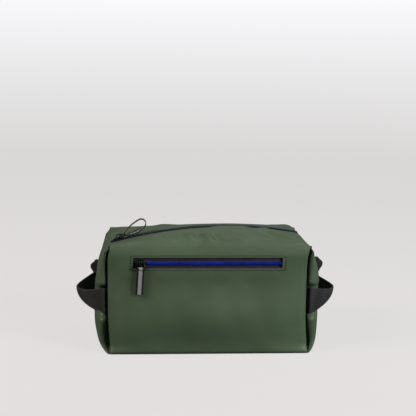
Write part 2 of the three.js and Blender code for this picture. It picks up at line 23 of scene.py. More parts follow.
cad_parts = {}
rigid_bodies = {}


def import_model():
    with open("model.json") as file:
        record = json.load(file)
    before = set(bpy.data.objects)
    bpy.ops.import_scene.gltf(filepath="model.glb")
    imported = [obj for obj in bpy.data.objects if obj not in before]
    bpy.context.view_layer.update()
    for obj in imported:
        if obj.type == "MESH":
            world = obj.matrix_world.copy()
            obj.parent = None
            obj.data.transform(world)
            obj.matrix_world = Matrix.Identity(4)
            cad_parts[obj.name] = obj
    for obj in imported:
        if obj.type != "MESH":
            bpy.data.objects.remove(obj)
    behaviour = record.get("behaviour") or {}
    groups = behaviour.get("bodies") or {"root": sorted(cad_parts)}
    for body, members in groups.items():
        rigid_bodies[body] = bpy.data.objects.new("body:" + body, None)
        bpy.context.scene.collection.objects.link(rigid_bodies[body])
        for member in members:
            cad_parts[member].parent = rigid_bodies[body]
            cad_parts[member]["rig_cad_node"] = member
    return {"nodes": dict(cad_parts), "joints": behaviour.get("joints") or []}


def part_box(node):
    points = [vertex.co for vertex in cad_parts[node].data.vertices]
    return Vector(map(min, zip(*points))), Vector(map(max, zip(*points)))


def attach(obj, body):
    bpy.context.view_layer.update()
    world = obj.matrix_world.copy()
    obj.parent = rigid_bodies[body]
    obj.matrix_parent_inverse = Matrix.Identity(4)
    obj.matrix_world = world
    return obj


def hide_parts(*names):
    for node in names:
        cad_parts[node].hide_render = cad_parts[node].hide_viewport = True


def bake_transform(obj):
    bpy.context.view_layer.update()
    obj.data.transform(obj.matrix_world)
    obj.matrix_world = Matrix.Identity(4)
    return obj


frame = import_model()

log = logging.getLogger("wash_bag")

MM = 0.001
Array = np.ndarray
Node = bpy.types.Node
Object = bpy.types.Object
ALONG_X, ALONG_Y, ALONG_Z = np.eye(3)


class Side(Enum):
    """Side of the bag."""

    @property
    def word(self) -> str:
        """Name used in piece and body names."""
        return self.name.lower()


class Face(Side):
    """The two long sides of the bag, by the sign of their Y."""

    FRONT = -1
    BACK = 1


class End(Side):
    """The two short sides of the bag, by the sign of their X."""

    LEFT = -1
    RIGHT = 1


# ---------------------------------------------------------------- numbers


def smooth(share: Array | float) -> Array:
    """Smoothstep: 3t^2 - 2t^3 of the share held between 0 and 1."""
    held = np.clip(share, 0.0, 1.0)
    return held * held * (3.0 - 2.0 * held)


def mix(low: Array | float, high: Array | float, share: Array | float) -> Array | float:
    """Value a share of the way from low to high."""
    return low + (high - low) * share


def spans(stops: Sequence[float], counts: Sequence[int]) -> Array:
    """Evenly spaced values between neighbouring stops.

    Args:
        stops: Values that are all kept.
        counts: Steps between each stop and the next.

    Returns:
        The values in order, without repeats.
    """
    runs = [np.linspace(a, b, n, endpoint=False) for a, b, n in zip(stops[:-1], stops[1:], counts)]
    return np.concatenate([*runs, [stops[-1]]])


def gridded(*coordinates: Array | float) -> Array:
    """Points from their coordinates, each of which may be a number, a row, a column or a grid."""
    return np.stack(np.broadcast_arrays(*coordinates), axis=-1)


def unit(vectors: Array) -> Array:
    """Vectors scaled to length 1."""
    return vectors / np.linalg.norm(vectors, axis=-1, keepdims=True)


def joint_place(name: str) -> Array:
    """Millimetre position of a joint of the frame."""
    found = next(joint for joint in frame["joints"] if joint["name"] == name)
    return np.array(found["pos_m"]) / MM


def node_box(name: str) -> tuple[Array, Array]:
    """Millimetre corners of a CAD node at rest."""
    low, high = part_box(name)
    return np.array(low) / MM, np.array(high) / MM


# ---------------------------------------------------------------- mesh parts


@dataclass
class MeshPart:
    """Part of a mesh: points, quads, triangles and one surface coordinate for each point, in millimetres."""

    points: Array
    quads: Array
    tris: Array = field(default_factory=lambda: np.zeros((0, 3), int))
    uv: Array | None = None

    def coordinates(self) -> Array:
        """Surface coordinates, from above where the part has none of its own."""
        return self.points[:, :2] if self.uv is None else self.uv

    def moved(self, origin: Array, along: Array, across: Array, out: Array) -> "MeshPart":
        """Part carried from its own frame into the bag's: origin plus x along, y across and z out."""
        basis = np.stack([along, across, out])
        return MeshPart(self.points @ basis + origin, self.quads, self.tris, self.coordinates())

    def build(self, name: str, sharp: float = 40.0) -> Object:
        """Makes the Blender object, in metres.

        Args:
            name: Name of the piece.
            sharp: Edges that turn by more degrees than this are shaded sharp.

        Returns:
            The object, linked to the scene, at the origin.
        """
        mesh = bpy.data.meshes.new(name)
        mesh.from_pydata((self.points * MM).tolist(), [], [*self.quads.tolist(), *self.tris.tolist()])
        corners = np.zeros(len(mesh.loops), int)
        mesh.loops.foreach_get("vertex_index", corners)
        layer = mesh.uv_layers.new(name="Surface")
        layer.uv.foreach_set("vector", self.coordinates()[corners].astype(np.float32).ravel())
        mesh.polygons.foreach_set("use_smooth", np.ones(len(mesh.polygons), bool))
        mesh.set_sharp_from_angle(angle=math.radians(sharp))
        self.mark_rims(mesh)
        obj = bpy.data.objects.new(name, mesh)
        bpy.context.scene.collection.objects.link(obj)
        return obj

    @staticmethod
    def mark_rims(mesh: bpy.types.Mesh) -> None:
        """Marks the edges that have only one face as sharp, so that a thickened rim doesn't darken the sheet."""
        edges = np.zeros(len(mesh.loops), int)
        mesh.loops.foreach_get("edge_index", edges)
        rim = np.bincount(edges, minlength=len(mesh.edges)) < 2
        if rim.any():
            layer = mesh.attributes.get("sharp_edge") or mesh.attributes.new("sharp_edge", "BOOLEAN", "EDGE")
            kept = np.zeros(len(mesh.edges), bool)
            layer.data.foreach_get("value", kept)
            layer.data.foreach_set("value", kept | rim)


def joined(parts: Sequence[MeshPart]) -> MeshPart:
    """Several parts as one."""
    starts = np.cumsum([0, *[len(part.points) for part in parts[:-1]]])
    return MeshPart(
        np.concatenate([part.points for part in parts]),
        np.concatenate([part.quads + start for part, start in zip(parts, starts)]),
        np.concatenate([part.tris + start for part, start in zip(parts, starts)]),
        np.concatenate([part.coordinates() for part in parts]),
    )


def grid_quads(rows: int, columns: int, wrap_columns: bool = False, flip: bool = False) -> Array:
    """Quads of a grid of points that are numbered row by row.

    Args:
        rows: Points in the first direction.
        columns: Points in the second direction.
        wrap_columns: Whether the last column joins the first.
        flip: Whether the faces are turned round.

    Returns:
        Point numbers, four to a face, as (rows - 1, faces in a row, 4).
    """
    i = np.arange(rows - 1)[:, None]
    j = np.arange(columns if wrap_columns else columns - 1)[None, :]
    after = (j + 1) % columns
    quads = np.stack(
        np.broadcast_arrays(i * columns + j, (i + 1) * columns + j, (i + 1) * columns + after, i * columns + after),
        axis=-1,
    )
    return quads[..., ::-1] if flip else quads


def sheet_part(points: Array, uv: Array | None = None, flip: bool = False, keep: Array | None = None) -> MeshPart:
    """Open sheet through a grid of points.

    Args:
        points: Grid of points, (rows, columns, 3).
        uv: Surface coordinates, (rows, columns, 2).
        flip: Whether the faces are turned round.
        keep: Which quads stay, (rows - 1, columns - 1).

    Returns:
        The sheet.
    """
    quads = grid_quads(*points.shape[:2], flip=flip)
    quads = quads.reshape(-1, 4) if keep is None else quads[keep]
    return MeshPart(points.reshape(-1, 3), quads, uv=None if uv is None else uv.reshape(-1, 2))


def capped_rings(rings: Array, uv: Array | None = None, domes: tuple[float, float] = (0.0, 0.0)) -> MeshPart:
    """Closed body through a stack of rings, with a fan of triangles over each end.

    Args:
        rings: Points, (rings, points in a ring, 3).
        uv: Surface coordinates, (rings, points in a ring, 2).
        domes: How far the middle of the first and last cap stands out.

    Returns:
        The closed part. Its faces point outwards where the rings turn clockwise seen from the first ring's side.
    """
    count, size = rings.shape[:2]
    heart = rings.mean(axis=1)
    middles = np.stack([
        heart[0] + domes[0] * unit(heart[0] - heart[1]), heart[-1] + domes[1] * unit(heart[-1] - heart[-2]),
    ])
    points = np.concatenate([rings.reshape(-1, 3), middles])
    flat = rings[..., :2] if uv is None else uv
    places = np.concatenate([flat.reshape(-1, 2), flat[[0, -1]].mean(axis=1)])
    j = np.arange(size)
    after = (j + 1) % size
    last = (count - 1) * size
    first_cap = np.stack([j, after, np.full(size, count * size)], axis=1)
    last_cap = np.stack([last + after, last + j, np.full(size, count * size + 1)], axis=1)
    quads = grid_quads(count, size, wrap_columns=True).reshape(-1, 4)
    part = MeshPart(points, quads, np.concatenate([first_cap, last_cap]), places)
    return outward(part)


def ring_band(rings: Array, uv: Array) -> MeshPart:
    """Closed band: rings carried round a closed path, the last joined to the first.

    Args:
        rings: Points, (rings, points in a ring, 3).
        uv: Surface coordinates, (rings, points in a ring, 2).

    Returns:
        The closed part.
    """
    count, size = rings.shape[:2]
    i, j = np.arange(count)[:, None], np.arange(size)[None, :]
    after_i, after_j = (i + 1) % count, (j + 1) % size
    quads = np.stack(
        np.broadcast_arrays(i * size + j, after_i * size + j, after_i * size + after_j, i * size + after_j), axis=-1,
    )
    return outward(MeshPart(rings.reshape(-1, 3), quads.reshape(-1, 4), uv=uv.reshape(-1, 2)))


def outward(part: MeshPart) -> MeshPart:
    """Closed part with its faces turned outwards, by the sign of its volume."""
    tris = np.concatenate([part.quads[:, [0, 1, 2]], part.quads[:, [0, 2, 3]], part.tris])
    a, b, c = part.points[tris].transpose(1, 0, 2)
    if np.einsum("ij,ij->", a, np.cross(b, c)) < 0:
        return MeshPart(part.points, part.quads[:, ::-1], part.tris[:, ::-1], part.uv)
    return part


def copies(part: MeshPart, origins: Array, along: Array, across: Array, out: Array) -> MeshPart:
    """Copies of a small part, each in its own frame: origin plus x along, y across and z out.

    Args:
        part: Part in its own frame.
        origins: Places of the copies, (n, 3).
        along: Directions of the part's x, (n, 3).
        across: Directions of its y, (n, 3).
        out: Directions of its z, (n, 3).

    Returns:
        All the copies as one part.
    """
    basis = np.stack([along, across, out], axis=1)
    points = np.einsum("pk,nkc->npc", part.points, basis) + origins[:, None, :]
    starts = np.arange(len(origins))[:, None, None] * len(part.points)
    return MeshPart(
        points.reshape(-1, 3),
        (part.quads[None] + starts).reshape(-1, 4),
        (part.tris[None] + starts).reshape(-1, 3),
        np.tile(part.coordinates(), (len(origins), 1)),
    )


def tangents(path: Array, closed: bool = False) -> Array:
    """Directions along a path of points, by central differences."""
    if closed:
        return unit(np.roll(path, -1, axis=0) - np.roll(path, 1, axis=0))
    return unit(np.gradient(path, axis=0))


def path_length(path: Array) -> Array:
    """Distance along a path at each of its points."""
    return np.concatenate([[0.0], np.cumsum(np.linalg.norm(np.diff(path, axis=0), axis=1))])


def carried(path: Array, across: Array, profile: Array, closed: bool = False) -> tuple[Array, Array]:
    """Rings of a profile carried along a path.

    The ring's point is the path's point plus the profile's first number across and its second number out, where out
    is the path's direction crossed with across.

    Args:
        path: Points, (n, 3).
        across: Directions of the profile's first axis, (n, 3).
        profile: Closed outline, (m, 2).
        closed: Whether the path is a closed loop.

    Returns:
        Rings, (n, m, 3), and surface coordinates: distance along the path and distance across.
    """
    out = unit(np.cross(tangents(path, closed), across))
    rings = path[:, None] + profile[None, :, 0, None] * across[:, None] + profile[None, :, 1, None] * out[:, None]
    length = np.broadcast_to(path_length(path)[:, None], rings.shape[:2])
    return rings, np.stack([length, np.broadcast_to(profile[None, :, 0], rings.shape[:2])], axis=-1)


def band_profile(width: float, thickness: float, face_points: int = 9, edge_points: int = 4) -> Array:
    """Outline of a woven band: two flat faces joined by half-round edges.

    Args:
        width: Full width.
        thickness: Full thickness.
        face_points: Points along each face.
        edge_points: Points inside each half-round edge.

    Returns:
        Closed outline, (points, 2).
    """
    half, radius = width / 2 - thickness / 2, thickness / 2
    face = np.linspace(-half, half, face_points)
    turn = np.linspace(math.pi / 2, -math.pi / 2, edge_points + 2)[1:-1]
    top = np.stack([face, np.full_like(face, radius)], axis=1)
    right = np.stack([half + radius * np.cos(turn), radius * np.sin(turn)], axis=1)
    return np.concatenate([top, right, -top, -right])


def round_profile(width: float, height: float, points: int = 10) -> Array:
    """Elliptical outline, (points, 2)."""
    turn = np.linspace(0, 2 * math.pi, points, endpoint=False)
    return np.stack([width / 2 * np.cos(turn), height / 2 * np.sin(turn)], axis=1)


def teardrop_path(small: float, large: float, length: float, points: int = 20) -> Array:
    """Closed line round two circles, the small one at the origin and the large one along X.

    Args:
        small: Radius at the origin.
        large: Radius at the far end.
        length: Distance between the middles.
        points: Points on each arc.

    Returns:
        Evenly running closed path in the XZ plane, (n, 3).
    """
    turn = math.acos((small - large) / length)
    far = np.linspace(-turn, turn, points)
    near = np.linspace(turn, 2 * math.pi - turn, max(8, points // 2))
    side = np.linspace(0, 1, points)[1:-1, None]
    far_arc = np.stack([length + large * np.cos(far), large * np.sin(far)], axis=1)
    near_arc = np.stack([small * np.cos(near), small * np.sin(near)], axis=1)
    flat = np.concatenate([
        far_arc, mix(far_arc[-1], near_arc[0], side), near_arc, mix(near_arc[-1], far_arc[0], side),
    ])
    return np.stack([flat[:, 0], np.zeros(len(flat)), flat[:, 1]], axis=1)


def domed_plate(outline: Array, low: float, high: float, rounding: float) -> MeshPart:
    """Cast plate with rounded rims: rings of the outline drawn in towards its middle at the rims.

    Args:
        outline: Closed outline round the origin, (n, 2).
        low: Height of the under side.
        high: Height of the top at its rim.
        rounding: Radius of the rims.

    Returns:
        The closed plate.
    """
    turn = np.linspace(0, math.pi / 2, 4)
    inset = rounding * np.concatenate([1 - np.sin(turn), 1 - np.cos(turn), [3.0]])
    height = np.concatenate([low + rounding * (1 - np.cos(turn)), high - rounding * (1 - np.sin(turn)), [high + 0.1]])
    reach = np.linalg.norm(outline, axis=1)
    share = 1 - inset[:, None] / reach[None, :]
    rings = np.concatenate([
        outline[None] * share[..., None], np.broadcast_to(height[:, None, None], (len(height), len(outline), 1)),
    ], axis=-1)
    return capped_rings(rings, domes=(0.0, 0.1))


def thicken(obj: Object, thickness: float, inner_slot: int = 0) -> Object:
    """Gives a sheet its thickness, inwards from its outer face, with Solidify."""
    wall = obj.modifiers.new("Cloth thickness", "SOLIDIFY")
    wall.thickness = thickness * MM
    wall.offset = -1
    wall.use_even_offset = False
    wall.material_offset = inner_slot
    return obj


# ---------------------------------------------------------------- finishes


def linear(code: str) -> tuple[float, float, float, float]:
    """Linear colour of an sRGB hex code such as '3c4a36'."""
    shares = [int(code[k:k + 2], 16) / 255 for k in (0, 2, 4)]
    return (*[s / 12.92 if s <= 0.04045 else ((s + 0.055) / 1.055) ** 2.4 for s in shares], 1.0)


def add(tree: bpy.types.NodeTree, kind: str, inputs: dict[Any, Any] | None = None, **settings: Any) -> Node:
    """Adds a node to a tree.

    Args:
        tree: Node tree.
        kind: Node type without its 'ShaderNode' prefix.
        inputs: Values or output sockets for its inputs, by name or number.
        **settings: Properties of the node.

    Returns:
        The node.
    """
    made = tree.nodes.new("ShaderNode" + kind)
    for name, value in settings.items():
        setattr(made, name, value)
    for socket, value in (inputs or {}).items():
        if isinstance(value, bpy.types.NodeSocket):
            tree.links.new(value, made.inputs[socket])
        else:
            made.inputs[socket].default_value = value
    return made


class Weave(Enum):
    """How a finish's fine relief is made."""

    GRAIN = "pebbled coating, no direction"
    PLAIN = "warp and weft crossing at right angles"
    RIBBED = "ribs along the band, picks across it"
    STRIPED = "ribbed band with a plain stripe down its middle"
    CAST = "faint orange-peel of a cast and painted metal"


@dataclass(frozen=True)
class Finish:
    """One finish. Colours are sRGB hex, lengths millimetres.

    Two colours are mottled by a broad noise, a second noise varies the gloss, and the weave gives the fine relief,
    whose height also shifts the colour: painted shade in its valleys, painted light on its tops.
    """

    name: str
    slot: str
    light: str
    dark: str
    weave: Weave = Weave.GRAIN
    mottle: float = 45.0
    pitch: float = 0.9
    relief: float = 0.02
    roughness: tuple[float, float] = (0.5, 0.6)
    metallic: float = 0.0
    ior: float = 1.5
    specular: float = 0.5
    sheen: float = 0.0
    sheen_roughness: float = 0.5
    sheen_colour: str = "ffffff"
    stripe: str = ""
    stripe_half: float = 0.0
    # How far the relief's height shifts the colour: painted shade in its valleys, painted light on its tops.
    valley: float = 0.14

    def bands(self, tree: bpy.types.NodeTree, where: Any, direction: str, pitch: float) -> Any:
        """Sine bands of a pitch in millimetres on the surface coordinates, which are millimetres too."""
        return add(
            tree, "TexWave", {"Vector": where, "Scale": math.pi / (10 * pitch)},
            wave_type="BANDS", bands_direction=direction, wave_profile="SIN",
        ).outputs["Fac"]

    def relief_height(self, tree: bpy.types.NodeTree, place: Any, surface: Any) -> Any:
        """Height of the fine relief, 0 to 1, by the finish's weave."""
        if self.weave in (Weave.GRAIN, Weave.CAST):
            return add(
                tree, "TexNoise", {"Vector": place, "Scale": 1 / (self.pitch * MM), "Detail": 3.0, "Roughness": 0.6},
            ).outputs["Fac"]
        first = self.bands(tree, surface, "X", self.pitch)
        second = self.bands(tree, surface, "Y", self.pitch * (1.0 if self.weave is Weave.PLAIN else 2.2))
        return add(tree, "Math", {0: first, 1: second}, operation="MULTIPLY").outputs[0]

    def colour(self, tree: bpy.types.NodeTree, place: Any, surface: Any, height: Any) -> Any:
        """Mottled colour, painted shade in the relief's valleys and painted light on its tops, and the stripe where
        there is one.
        """
        broad = add(
            tree, "TexNoise", {"Vector": place, "Scale": 1 / (self.mottle * MM), "Detail": 4.0, "Roughness": 0.55},
        ).outputs["Fac"]
        # The relief's height shifts the colour: painted shade in its valleys, painted light on its tops.
        fine = add(tree, "MapRange", {
            "Value": height, "From Min": 0.0, "From Max": 1.0, "To Min": -self.valley, "To Max": self.valley,
        }).outputs[0]
        sum_of = add(tree, "Math", {0: broad, 1: fine}, operation="ADD", use_clamp=True).outputs[0]
        share = add(
            tree, "MapRange", {"Value": sum_of, "From Min": 0.3, "From Max": 0.7, "To Min": 0.0, "To Max": 1.0},
        ).outputs[0]
        base = self.blended(tree, share, linear(self.dark), linear(self.light))
        if not self.stripe:
            return base
        across = add(tree, "SeparateXYZ", {"Vector": surface}).outputs["Y"]
        off = add(tree, "Math", {0: across}, operation="ABSOLUTE").outputs[0]
        inside = add(
            tree, "MapRange", {
                "Value": off, "From Min": self.stripe_half - 0.2, "From Max": self.stripe_half + 0.2,
                "To Min": 1.0, "To Max": 0.0,
            },
        ).outputs[0]
        return self.blended(tree, inside, base, linear(self.stripe))

    @staticmethod
    def blended(tree: bpy.types.NodeTree, share: Any, first: Any, second: Any) -> Any:
        """Colour a share of the way from the first to the second."""
        made = add(tree, "Mix", data_type="RGBA")
        for number, value in ((0, share), (6, first), (7, second)):
            if isinstance(value, bpy.types.NodeSocket):
                tree.links.new(value, made.inputs[number])
            else:
                made.inputs[number].default_value = value
        return made.outputs[2]

    @functools.lru_cache(maxsize=None)
    def material(self) -> bpy.types.Material:
        """The finish as a node material, made once."""
        made = bpy.data.materials.new(self.name)
        made.use_nodes = True
        tree = made.node_tree
        tree.nodes.clear()
        place = add(tree, "TexCoord").outputs["Object"]
        surface = add(tree, "UVMap", uv_map="Surface").outputs["UV"]
        height = self.relief_height(tree, place, surface)
        wear = add(
            tree, "TexNoise", {"Vector": place, "Scale": 1 / (0.35 * self.mottle * MM), "Detail": 5.0},
        ).outputs["Fac"]
        gloss = add(tree, "MapRange", {
            "Value": wear, "From Min": 0.35, "From Max": 0.65,
            "To Min": self.roughness[0], "To Max": self.roughness[1],
        }).outputs[0]
        bump = add(tree, "Bump", {"Height": height, "Strength": 1.0, "Distance": self.relief * MM}).outputs[0]
        shader = add(tree, "BsdfPrincipled", {
            "Base Color": self.colour(tree, place, surface, height),
            "Roughness": gloss,
            "Normal": bump,
            "Metallic": self.metallic,
            "IOR": self.ior,
            "Specular IOR Level": self.specular,
            "Sheen Weight": self.sheen,
            "Sheen Roughness": self.sheen_roughness,
            "Sheen Tint": linear(self.sheen_colour),
        })
        add(tree, "OutputMaterial", {"Surface": shader.outputs[0]})
        return made

    def dress(self, obj: Object, inner: "Finish | None" = None) -> Object:
        """Puts the finish on an object, and another on the inner face of a thickened sheet.

        Args:
            obj: Piece or CAD node.
            inner: Finish of the inner face.

        Returns:
            The same object.
        """
        obj.data.materials.clear()
        for finish in (self, inner) if inner else (self,):
            obj.data.materials.append(finish.material())
        return obj


def placed(
    part: MeshPart, name: str, finish: Finish, nodes: Sequence[str], body: str = "", sharp: float = 40.0,
    inner: Finish | None = None,
) -> Object:
    """Makes a piece of the bag.

    Args:
        part: Its mesh.
        name: Its name.
        finish: Its finish.
        nodes: CAD nodes that it stands for.
        body: Body that it rides on, or nothing.
        sharp: Edges that turn by more degrees than this are shaded sharp.
        inner: Finish of the inner face of a sheet.

    Returns:
        The dressed object.
    """
    obj = part.build(name, sharp)
    if nodes:
        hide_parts(*nodes)
    if body:
        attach(obj, body)
    return finish.dress(obj, inner)


# Rubber-coated polyester: smooth to the eye, matt, with a soft glow along its folds. The real grain is about 0.2 mm;
# it is drawn at 0.9 mm so that it shows.
COATED_CLOTH = Finish(
    "Rubber-coated polyester, dark green", "coated_cloth", "50624c", "475843", mottle=60, pitch=0.9, relief=0.012,
    roughness=(0.42, 0.52), specular=0.3, sheen=0.03, sheen_roughness=0.45, sheen_colour="c9d8bd",
)
# Woven nylon lining, plain weave of 0.35 mm threads, drawn at 0.8 mm.
LINING_CLOTH = Finish(
    "Woven nylon lining, charcoal", "lining_cloth", "43464b", "36393e", Weave.PLAIN, pitch=0.8, relief=0.03,
    roughness=(0.55, 0.7), sheen=0.2,
)
# Rolled polyethylene sheet, faintly waxy.
BASE_BOARD = Finish(
    "Polyethylene sheet, grey", "stiff_board", "5c5f63", "505357", pitch=1.5, relief=0.02, roughness=(0.45, 0.6),
)
# Polyester zip tape, herringbone twill of 0.5 mm, brown-black.
ZIP_TAPE = Finish(
    "Polyester twill zip tape, black", "zip_tape", "2b2723", "201d1a", Weave.PLAIN, mottle=12, pitch=0.6, relief=0.03,
    roughness=(0.7, 0.85), sheen=0.15,
)
# Moulded nylon monofilament, half gloss. The roof zip's coil is the same blue as the pocket's. Its colour is darkened
# to dark navy as painted shade, for a coil seen at a grazing angle.
MAIN_COIL_PAINTED_SHADE = Finish(
    "Nylon coil, midnight blue", "main_coil", "25284f", "1a1c36", mottle=15, pitch=0.5, relief=0.006,
    roughness=(0.35, 0.45), ior=1.53,
)
POCKET_COIL = Finish(
    "Nylon coil, royal blue", "blue_coil", "0a2cb6", "051892", mottle=15, pitch=0.5, relief=0.006,
    roughness=(0.45, 0.55), ior=1.53, specular=0.12,
)
# Zinc die casting under black enamel: deep black, tight highlights.
BLACK_METAL = Finish(
    "Die-cast zinc, black enamel", "black_metal", "19191b", "0f0f11", Weave.CAST, mottle=8, pitch=1.2, relief=0.012,
    roughness=(0.22, 0.34), metallic=0.35,
)
# Grosgrain puller ribbon with a grey reflective stripe woven down its middle.
PULLER_RIBBON = Finish(
    "Grosgrain ribbon, black with grey stripe", "puller_ribbon", "1c1b1d", "131214", Weave.STRIPED, mottle=10,
    pitch=0.7, relief=0.03, roughness=(0.5, 0.62), specular=0.3, stripe="908e91", stripe_half=1.9,
)
# Polypropylene webbing, ribbed lengthwise, 1.6 mm ribs.
WEBBING = Finish(
    "Ribbed webbing, black", "webbing", "353437", "242325", Weave.RIBBED, mottle=20, pitch=1.3, relief=0.09,
    roughness=(0.6, 0.75), specular=0.3, sheen=0.08, sheen_roughness=0.4,
)
# Bonded polyester thread, one shade darker than the cloth.
THREAD = Finish(
    "Bonded polyester thread, dark green", "coated_cloth", "151d14", "0f160e", mottle=6, pitch=0.4, relief=0.01,
    roughness=(0.45, 0.55),
)


# ---------------------------------------------------------------- shell


@dataclass(frozen=True)
class Ridge:
    """Soft crease in the cloth: a bell-shaped ridge or valley along a line, tapering at both ends."""

    start: tuple[float, float]
    end: tuple[float, float]
    width: float
    height: float

    def lift(self, a: Array, b: Array) -> Array:
        """Height at surface places: height times exp(-(distance / width)^2) times a taper along the line."""
        first, last = np.array(self.start), np.array(self.end)
        run = last - first
        length = float(np.linalg.norm(run))
        along = ((a - first[0]) * run[0] + (b - first[1]) * run[1]) / length
        off = ((a - first[0]) * run[1] - (b - first[1]) * run[0]) / length
        spare, ease = 0.35 * self.width, 0.3 * length
        taper = smooth((along + spare) / ease) * smooth((length + spare - along) / ease)
        return self.height * np.exp(-((off / self.width) ** 2)) * taper


@dataclass
class BagShell:
    """The sewn shell: panels, gussets, roof and base. Every seam is one line that both of its pieces share."""

    half_width: float = field(init=False)
    half_depth: float = field(init=False)
    edge_height: float = field(init=False)
    fold_y: float = field(init=False)
    crown_x: float = field(init=False)
    arc_z: float = field(init=False)
    roof_radius: float = field(init=False)
    fold_rise: float = 13.0
    cloth: float = 1.4
    roof_cloth: float = 0.8
    belly: float = 5.0
    belly_top: float = 80.0
    side_bulge: float = 16.6
    fullest: float = 0.38
    crease_depth: float = 15.0
    foot_depth: float = 6.0
    slot: float = 2.3
    foot_slot: float = 2.2
    edge_radius: float = 3.0
    edge_foot_share: float = 103.8 / 104.5
    edge_gain: float = 0.7
    edge_bow: float = 2.3
    fold_fade: float = 8.0
    foot_start: float = 1.5
    foot_fade: float = 9.0
    edge_roll: float = 4.0
    roll_fade: float = 32.0
    roll_foot_fade: float = 12.0
    roll_width: float = 42.0
    pinch: float = 26.0
    tuck: float = 4.0
    mouth: float = 4.5
    turning: dict[End, tuple[float, float]] = field(
        default_factory=lambda: {End.LEFT: (-64.0, -2.0), End.RIGHT: (96.0, 6.0)},
    )
    shoulder: dict[Face, float] = field(default_factory=lambda: {Face.FRONT: 15.0, Face.BACK: 8.0})
    end_drop: float = 6.0
    end_run: float = 8.5
    lip_front: float = 1.8
    lip_left: float = 2.8
    lip_crown: float = 2.1
    lip_back: float = 0.4
    lobe_behind_webbing: float = 2.0
    lobe_below: float = 8.0
    lobe_above: float = 10.0
    webbing_foot: float = 36.0
    webbing_head: float = 69.0
    window_inset: float = 4.0
    window_below: float = 6.9
    window_above: float = 4.6
    window_low: Array = field(init=False)
    window_high: Array = field(init=False)
    front_creases: tuple[Ridge, ...] = (
        Ridge((48, 3), (100, 57), 4.5, 3.0),
        Ridge((58, 28), (96, 62), 7.0, -2.0),
        Ridge((-6, 30), (2, 64), 3.6, 2.4),
        Ridge((2, 28), (12, 62), 4.2, -2.0),
        Ridge((-22, 26), (-19, 64), 4.0, 1.8),
        Ridge((-14, 30), (-9, 62), 3.6, -1.3),
        Ridge((-80, 22), (-44, 62), 5.5, 2.0),
        Ridge((-64, 22), (-30, 60), 6.0, -1.5),
        Ridge((22, 30), (34, 62), 6.0, 1.3),
        Ridge((34, 26), (50, 60), 6.0, -1.0),
    )
    back_creases: tuple[Ridge, ...] = (
        Ridge((-30, 20), (-52, 60), 7.0, 1.4),
        Ridge((10, 26), (22, 60), 6.0, -1.2),
        Ridge((70, 10), (100, 56), 8.0, 1.8),
        Ridge((-74, 16), (-100, 56), 7.0, 1.4),
    )

    def __post_init__(self) -> None:
        """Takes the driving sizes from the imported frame."""
        high = node_box("base_panel")[1]
        self.half_width, self.half_depth = float(high[0]), float(high[1])
        hinge = joint_place("back_flap_open")
        self.fold_y, self.edge_height = float(hinge[1]), float(hinge[2])
        centre = joint_place("main_zip_slide")
        self.crown_x, self.arc_z = float(centre[0]), float(centre[2])
        self.roof_radius = float(node_box("top_front_flap")[1][2]) - self.arc_z
        tape_low, tape_high = node_box("pocket_tape_upper")
        lower = node_box("pocket_tape_lower")[0]
        middle = (lower[2] + tape_high[2]) / 2
        self.window_low = np.array([tape_low[0] + self.window_inset, middle - self.window_below])
        self.window_high = np.array([tape_high[0] - self.window_inset, middle + self.window_above])

    # Lines and heights shared by the pieces.

    def arc(self, x: Array) -> Array:
        """Height of the roof along the zip: a circular arc that falls away at its right end."""
        return self.arc_z + np.sqrt(self.roof_radius ** 2 - (x - self.crown_x) ** 2) - self.ending(x)

    def ending(self, x: Array) -> Array:
        """How far the zip's line has fallen away at the right end: a square."""
        return self.end_drop * np.clip((x - (self.half_width - self.end_run)) / self.end_run, 0, 1) ** 2

    def roof(self, x: Array, y: Array, side: Face) -> Array:
        """Height of the roof.

        A parabola from the arc down to the fold, plus a padded shoulder next to the fold, 4 (1 - n) n^6 of the
        shoulder's height, where n is the distance from the zip as a share of the fold's, plus the creases. The cloth
        is drawn down beside the zip, most at the left end.
        """
        near = np.abs(y) / self.fold_y
        height = mix(self.edge_height, self.arc(x), 1 - near ** 2)
        full = 1 - np.abs(x / self.half_width) ** (6 if side is Face.FRONT else 18)
        height = height + self.shoulder[side] * full * 4 * (1 - near) * near ** 6
        creases = self.front_creases if side is Face.FRONT else self.back_creases
        calm = smooth((np.abs(y) - self.mouth - 1) / 12) * smooth((self.fold_y - np.abs(y)) / 7)
        calm = calm * smooth((self.half_width - np.abs(x)) / 5)
        height = height + calm * sum(crease.lift(x, np.abs(y)) for crease in creases)
        beside_zip = 1 - smooth((np.abs(y) - self.mouth) / 7)
        return height - self.lip_drop(x, side) * beside_zip * smooth((self.half_width - np.abs(x)) / 3)

    def lip_drop(self, x: Array, side: Face) -> Array:
        """How far the roof is drawn down beside the zip: most at the left end in front, not at all at the crown."""
        crown = smooth((x + 8) / 22) * smooth((56 - x) / 18)
        front = self.lip_front + self.lip_left * (1 - smooth((x + 95) / 80)) - self.lip_crown * crown
        return front if side is Face.FRONT else np.full_like(front, self.lip_back)

    def lean(self, z: Array) -> Array:
        """How far the panels lean in below their fold: a parabola over the fold's rise."""
        return (self.half_depth - self.fold_y) * np.clip(1 - (self.edge_height - z) / self.fold_rise, 0, 1) ** 2

    def tucked(self, z: Array) -> Array:
        """How far the foot of a panel turns in: a quarter circle."""
        down = np.clip(self.tuck - z, 0, self.tuck)
        return self.tuck - np.sqrt(self.tuck ** 2 - down ** 2)

    def bellied(self, x: Array, z: Array) -> Array:
        """How far a panel stands out: a parabola across, one squared sine wave up to the pocket."""
        across = 1 - (x / self.half_width) ** 2
        up = np.where(z < self.belly_top, np.sin(math.pi * np.clip(z, 0, self.belly_top) / self.belly_top) ** 2, 0)
        return self.belly * np.clip(across, 0, 1) * up

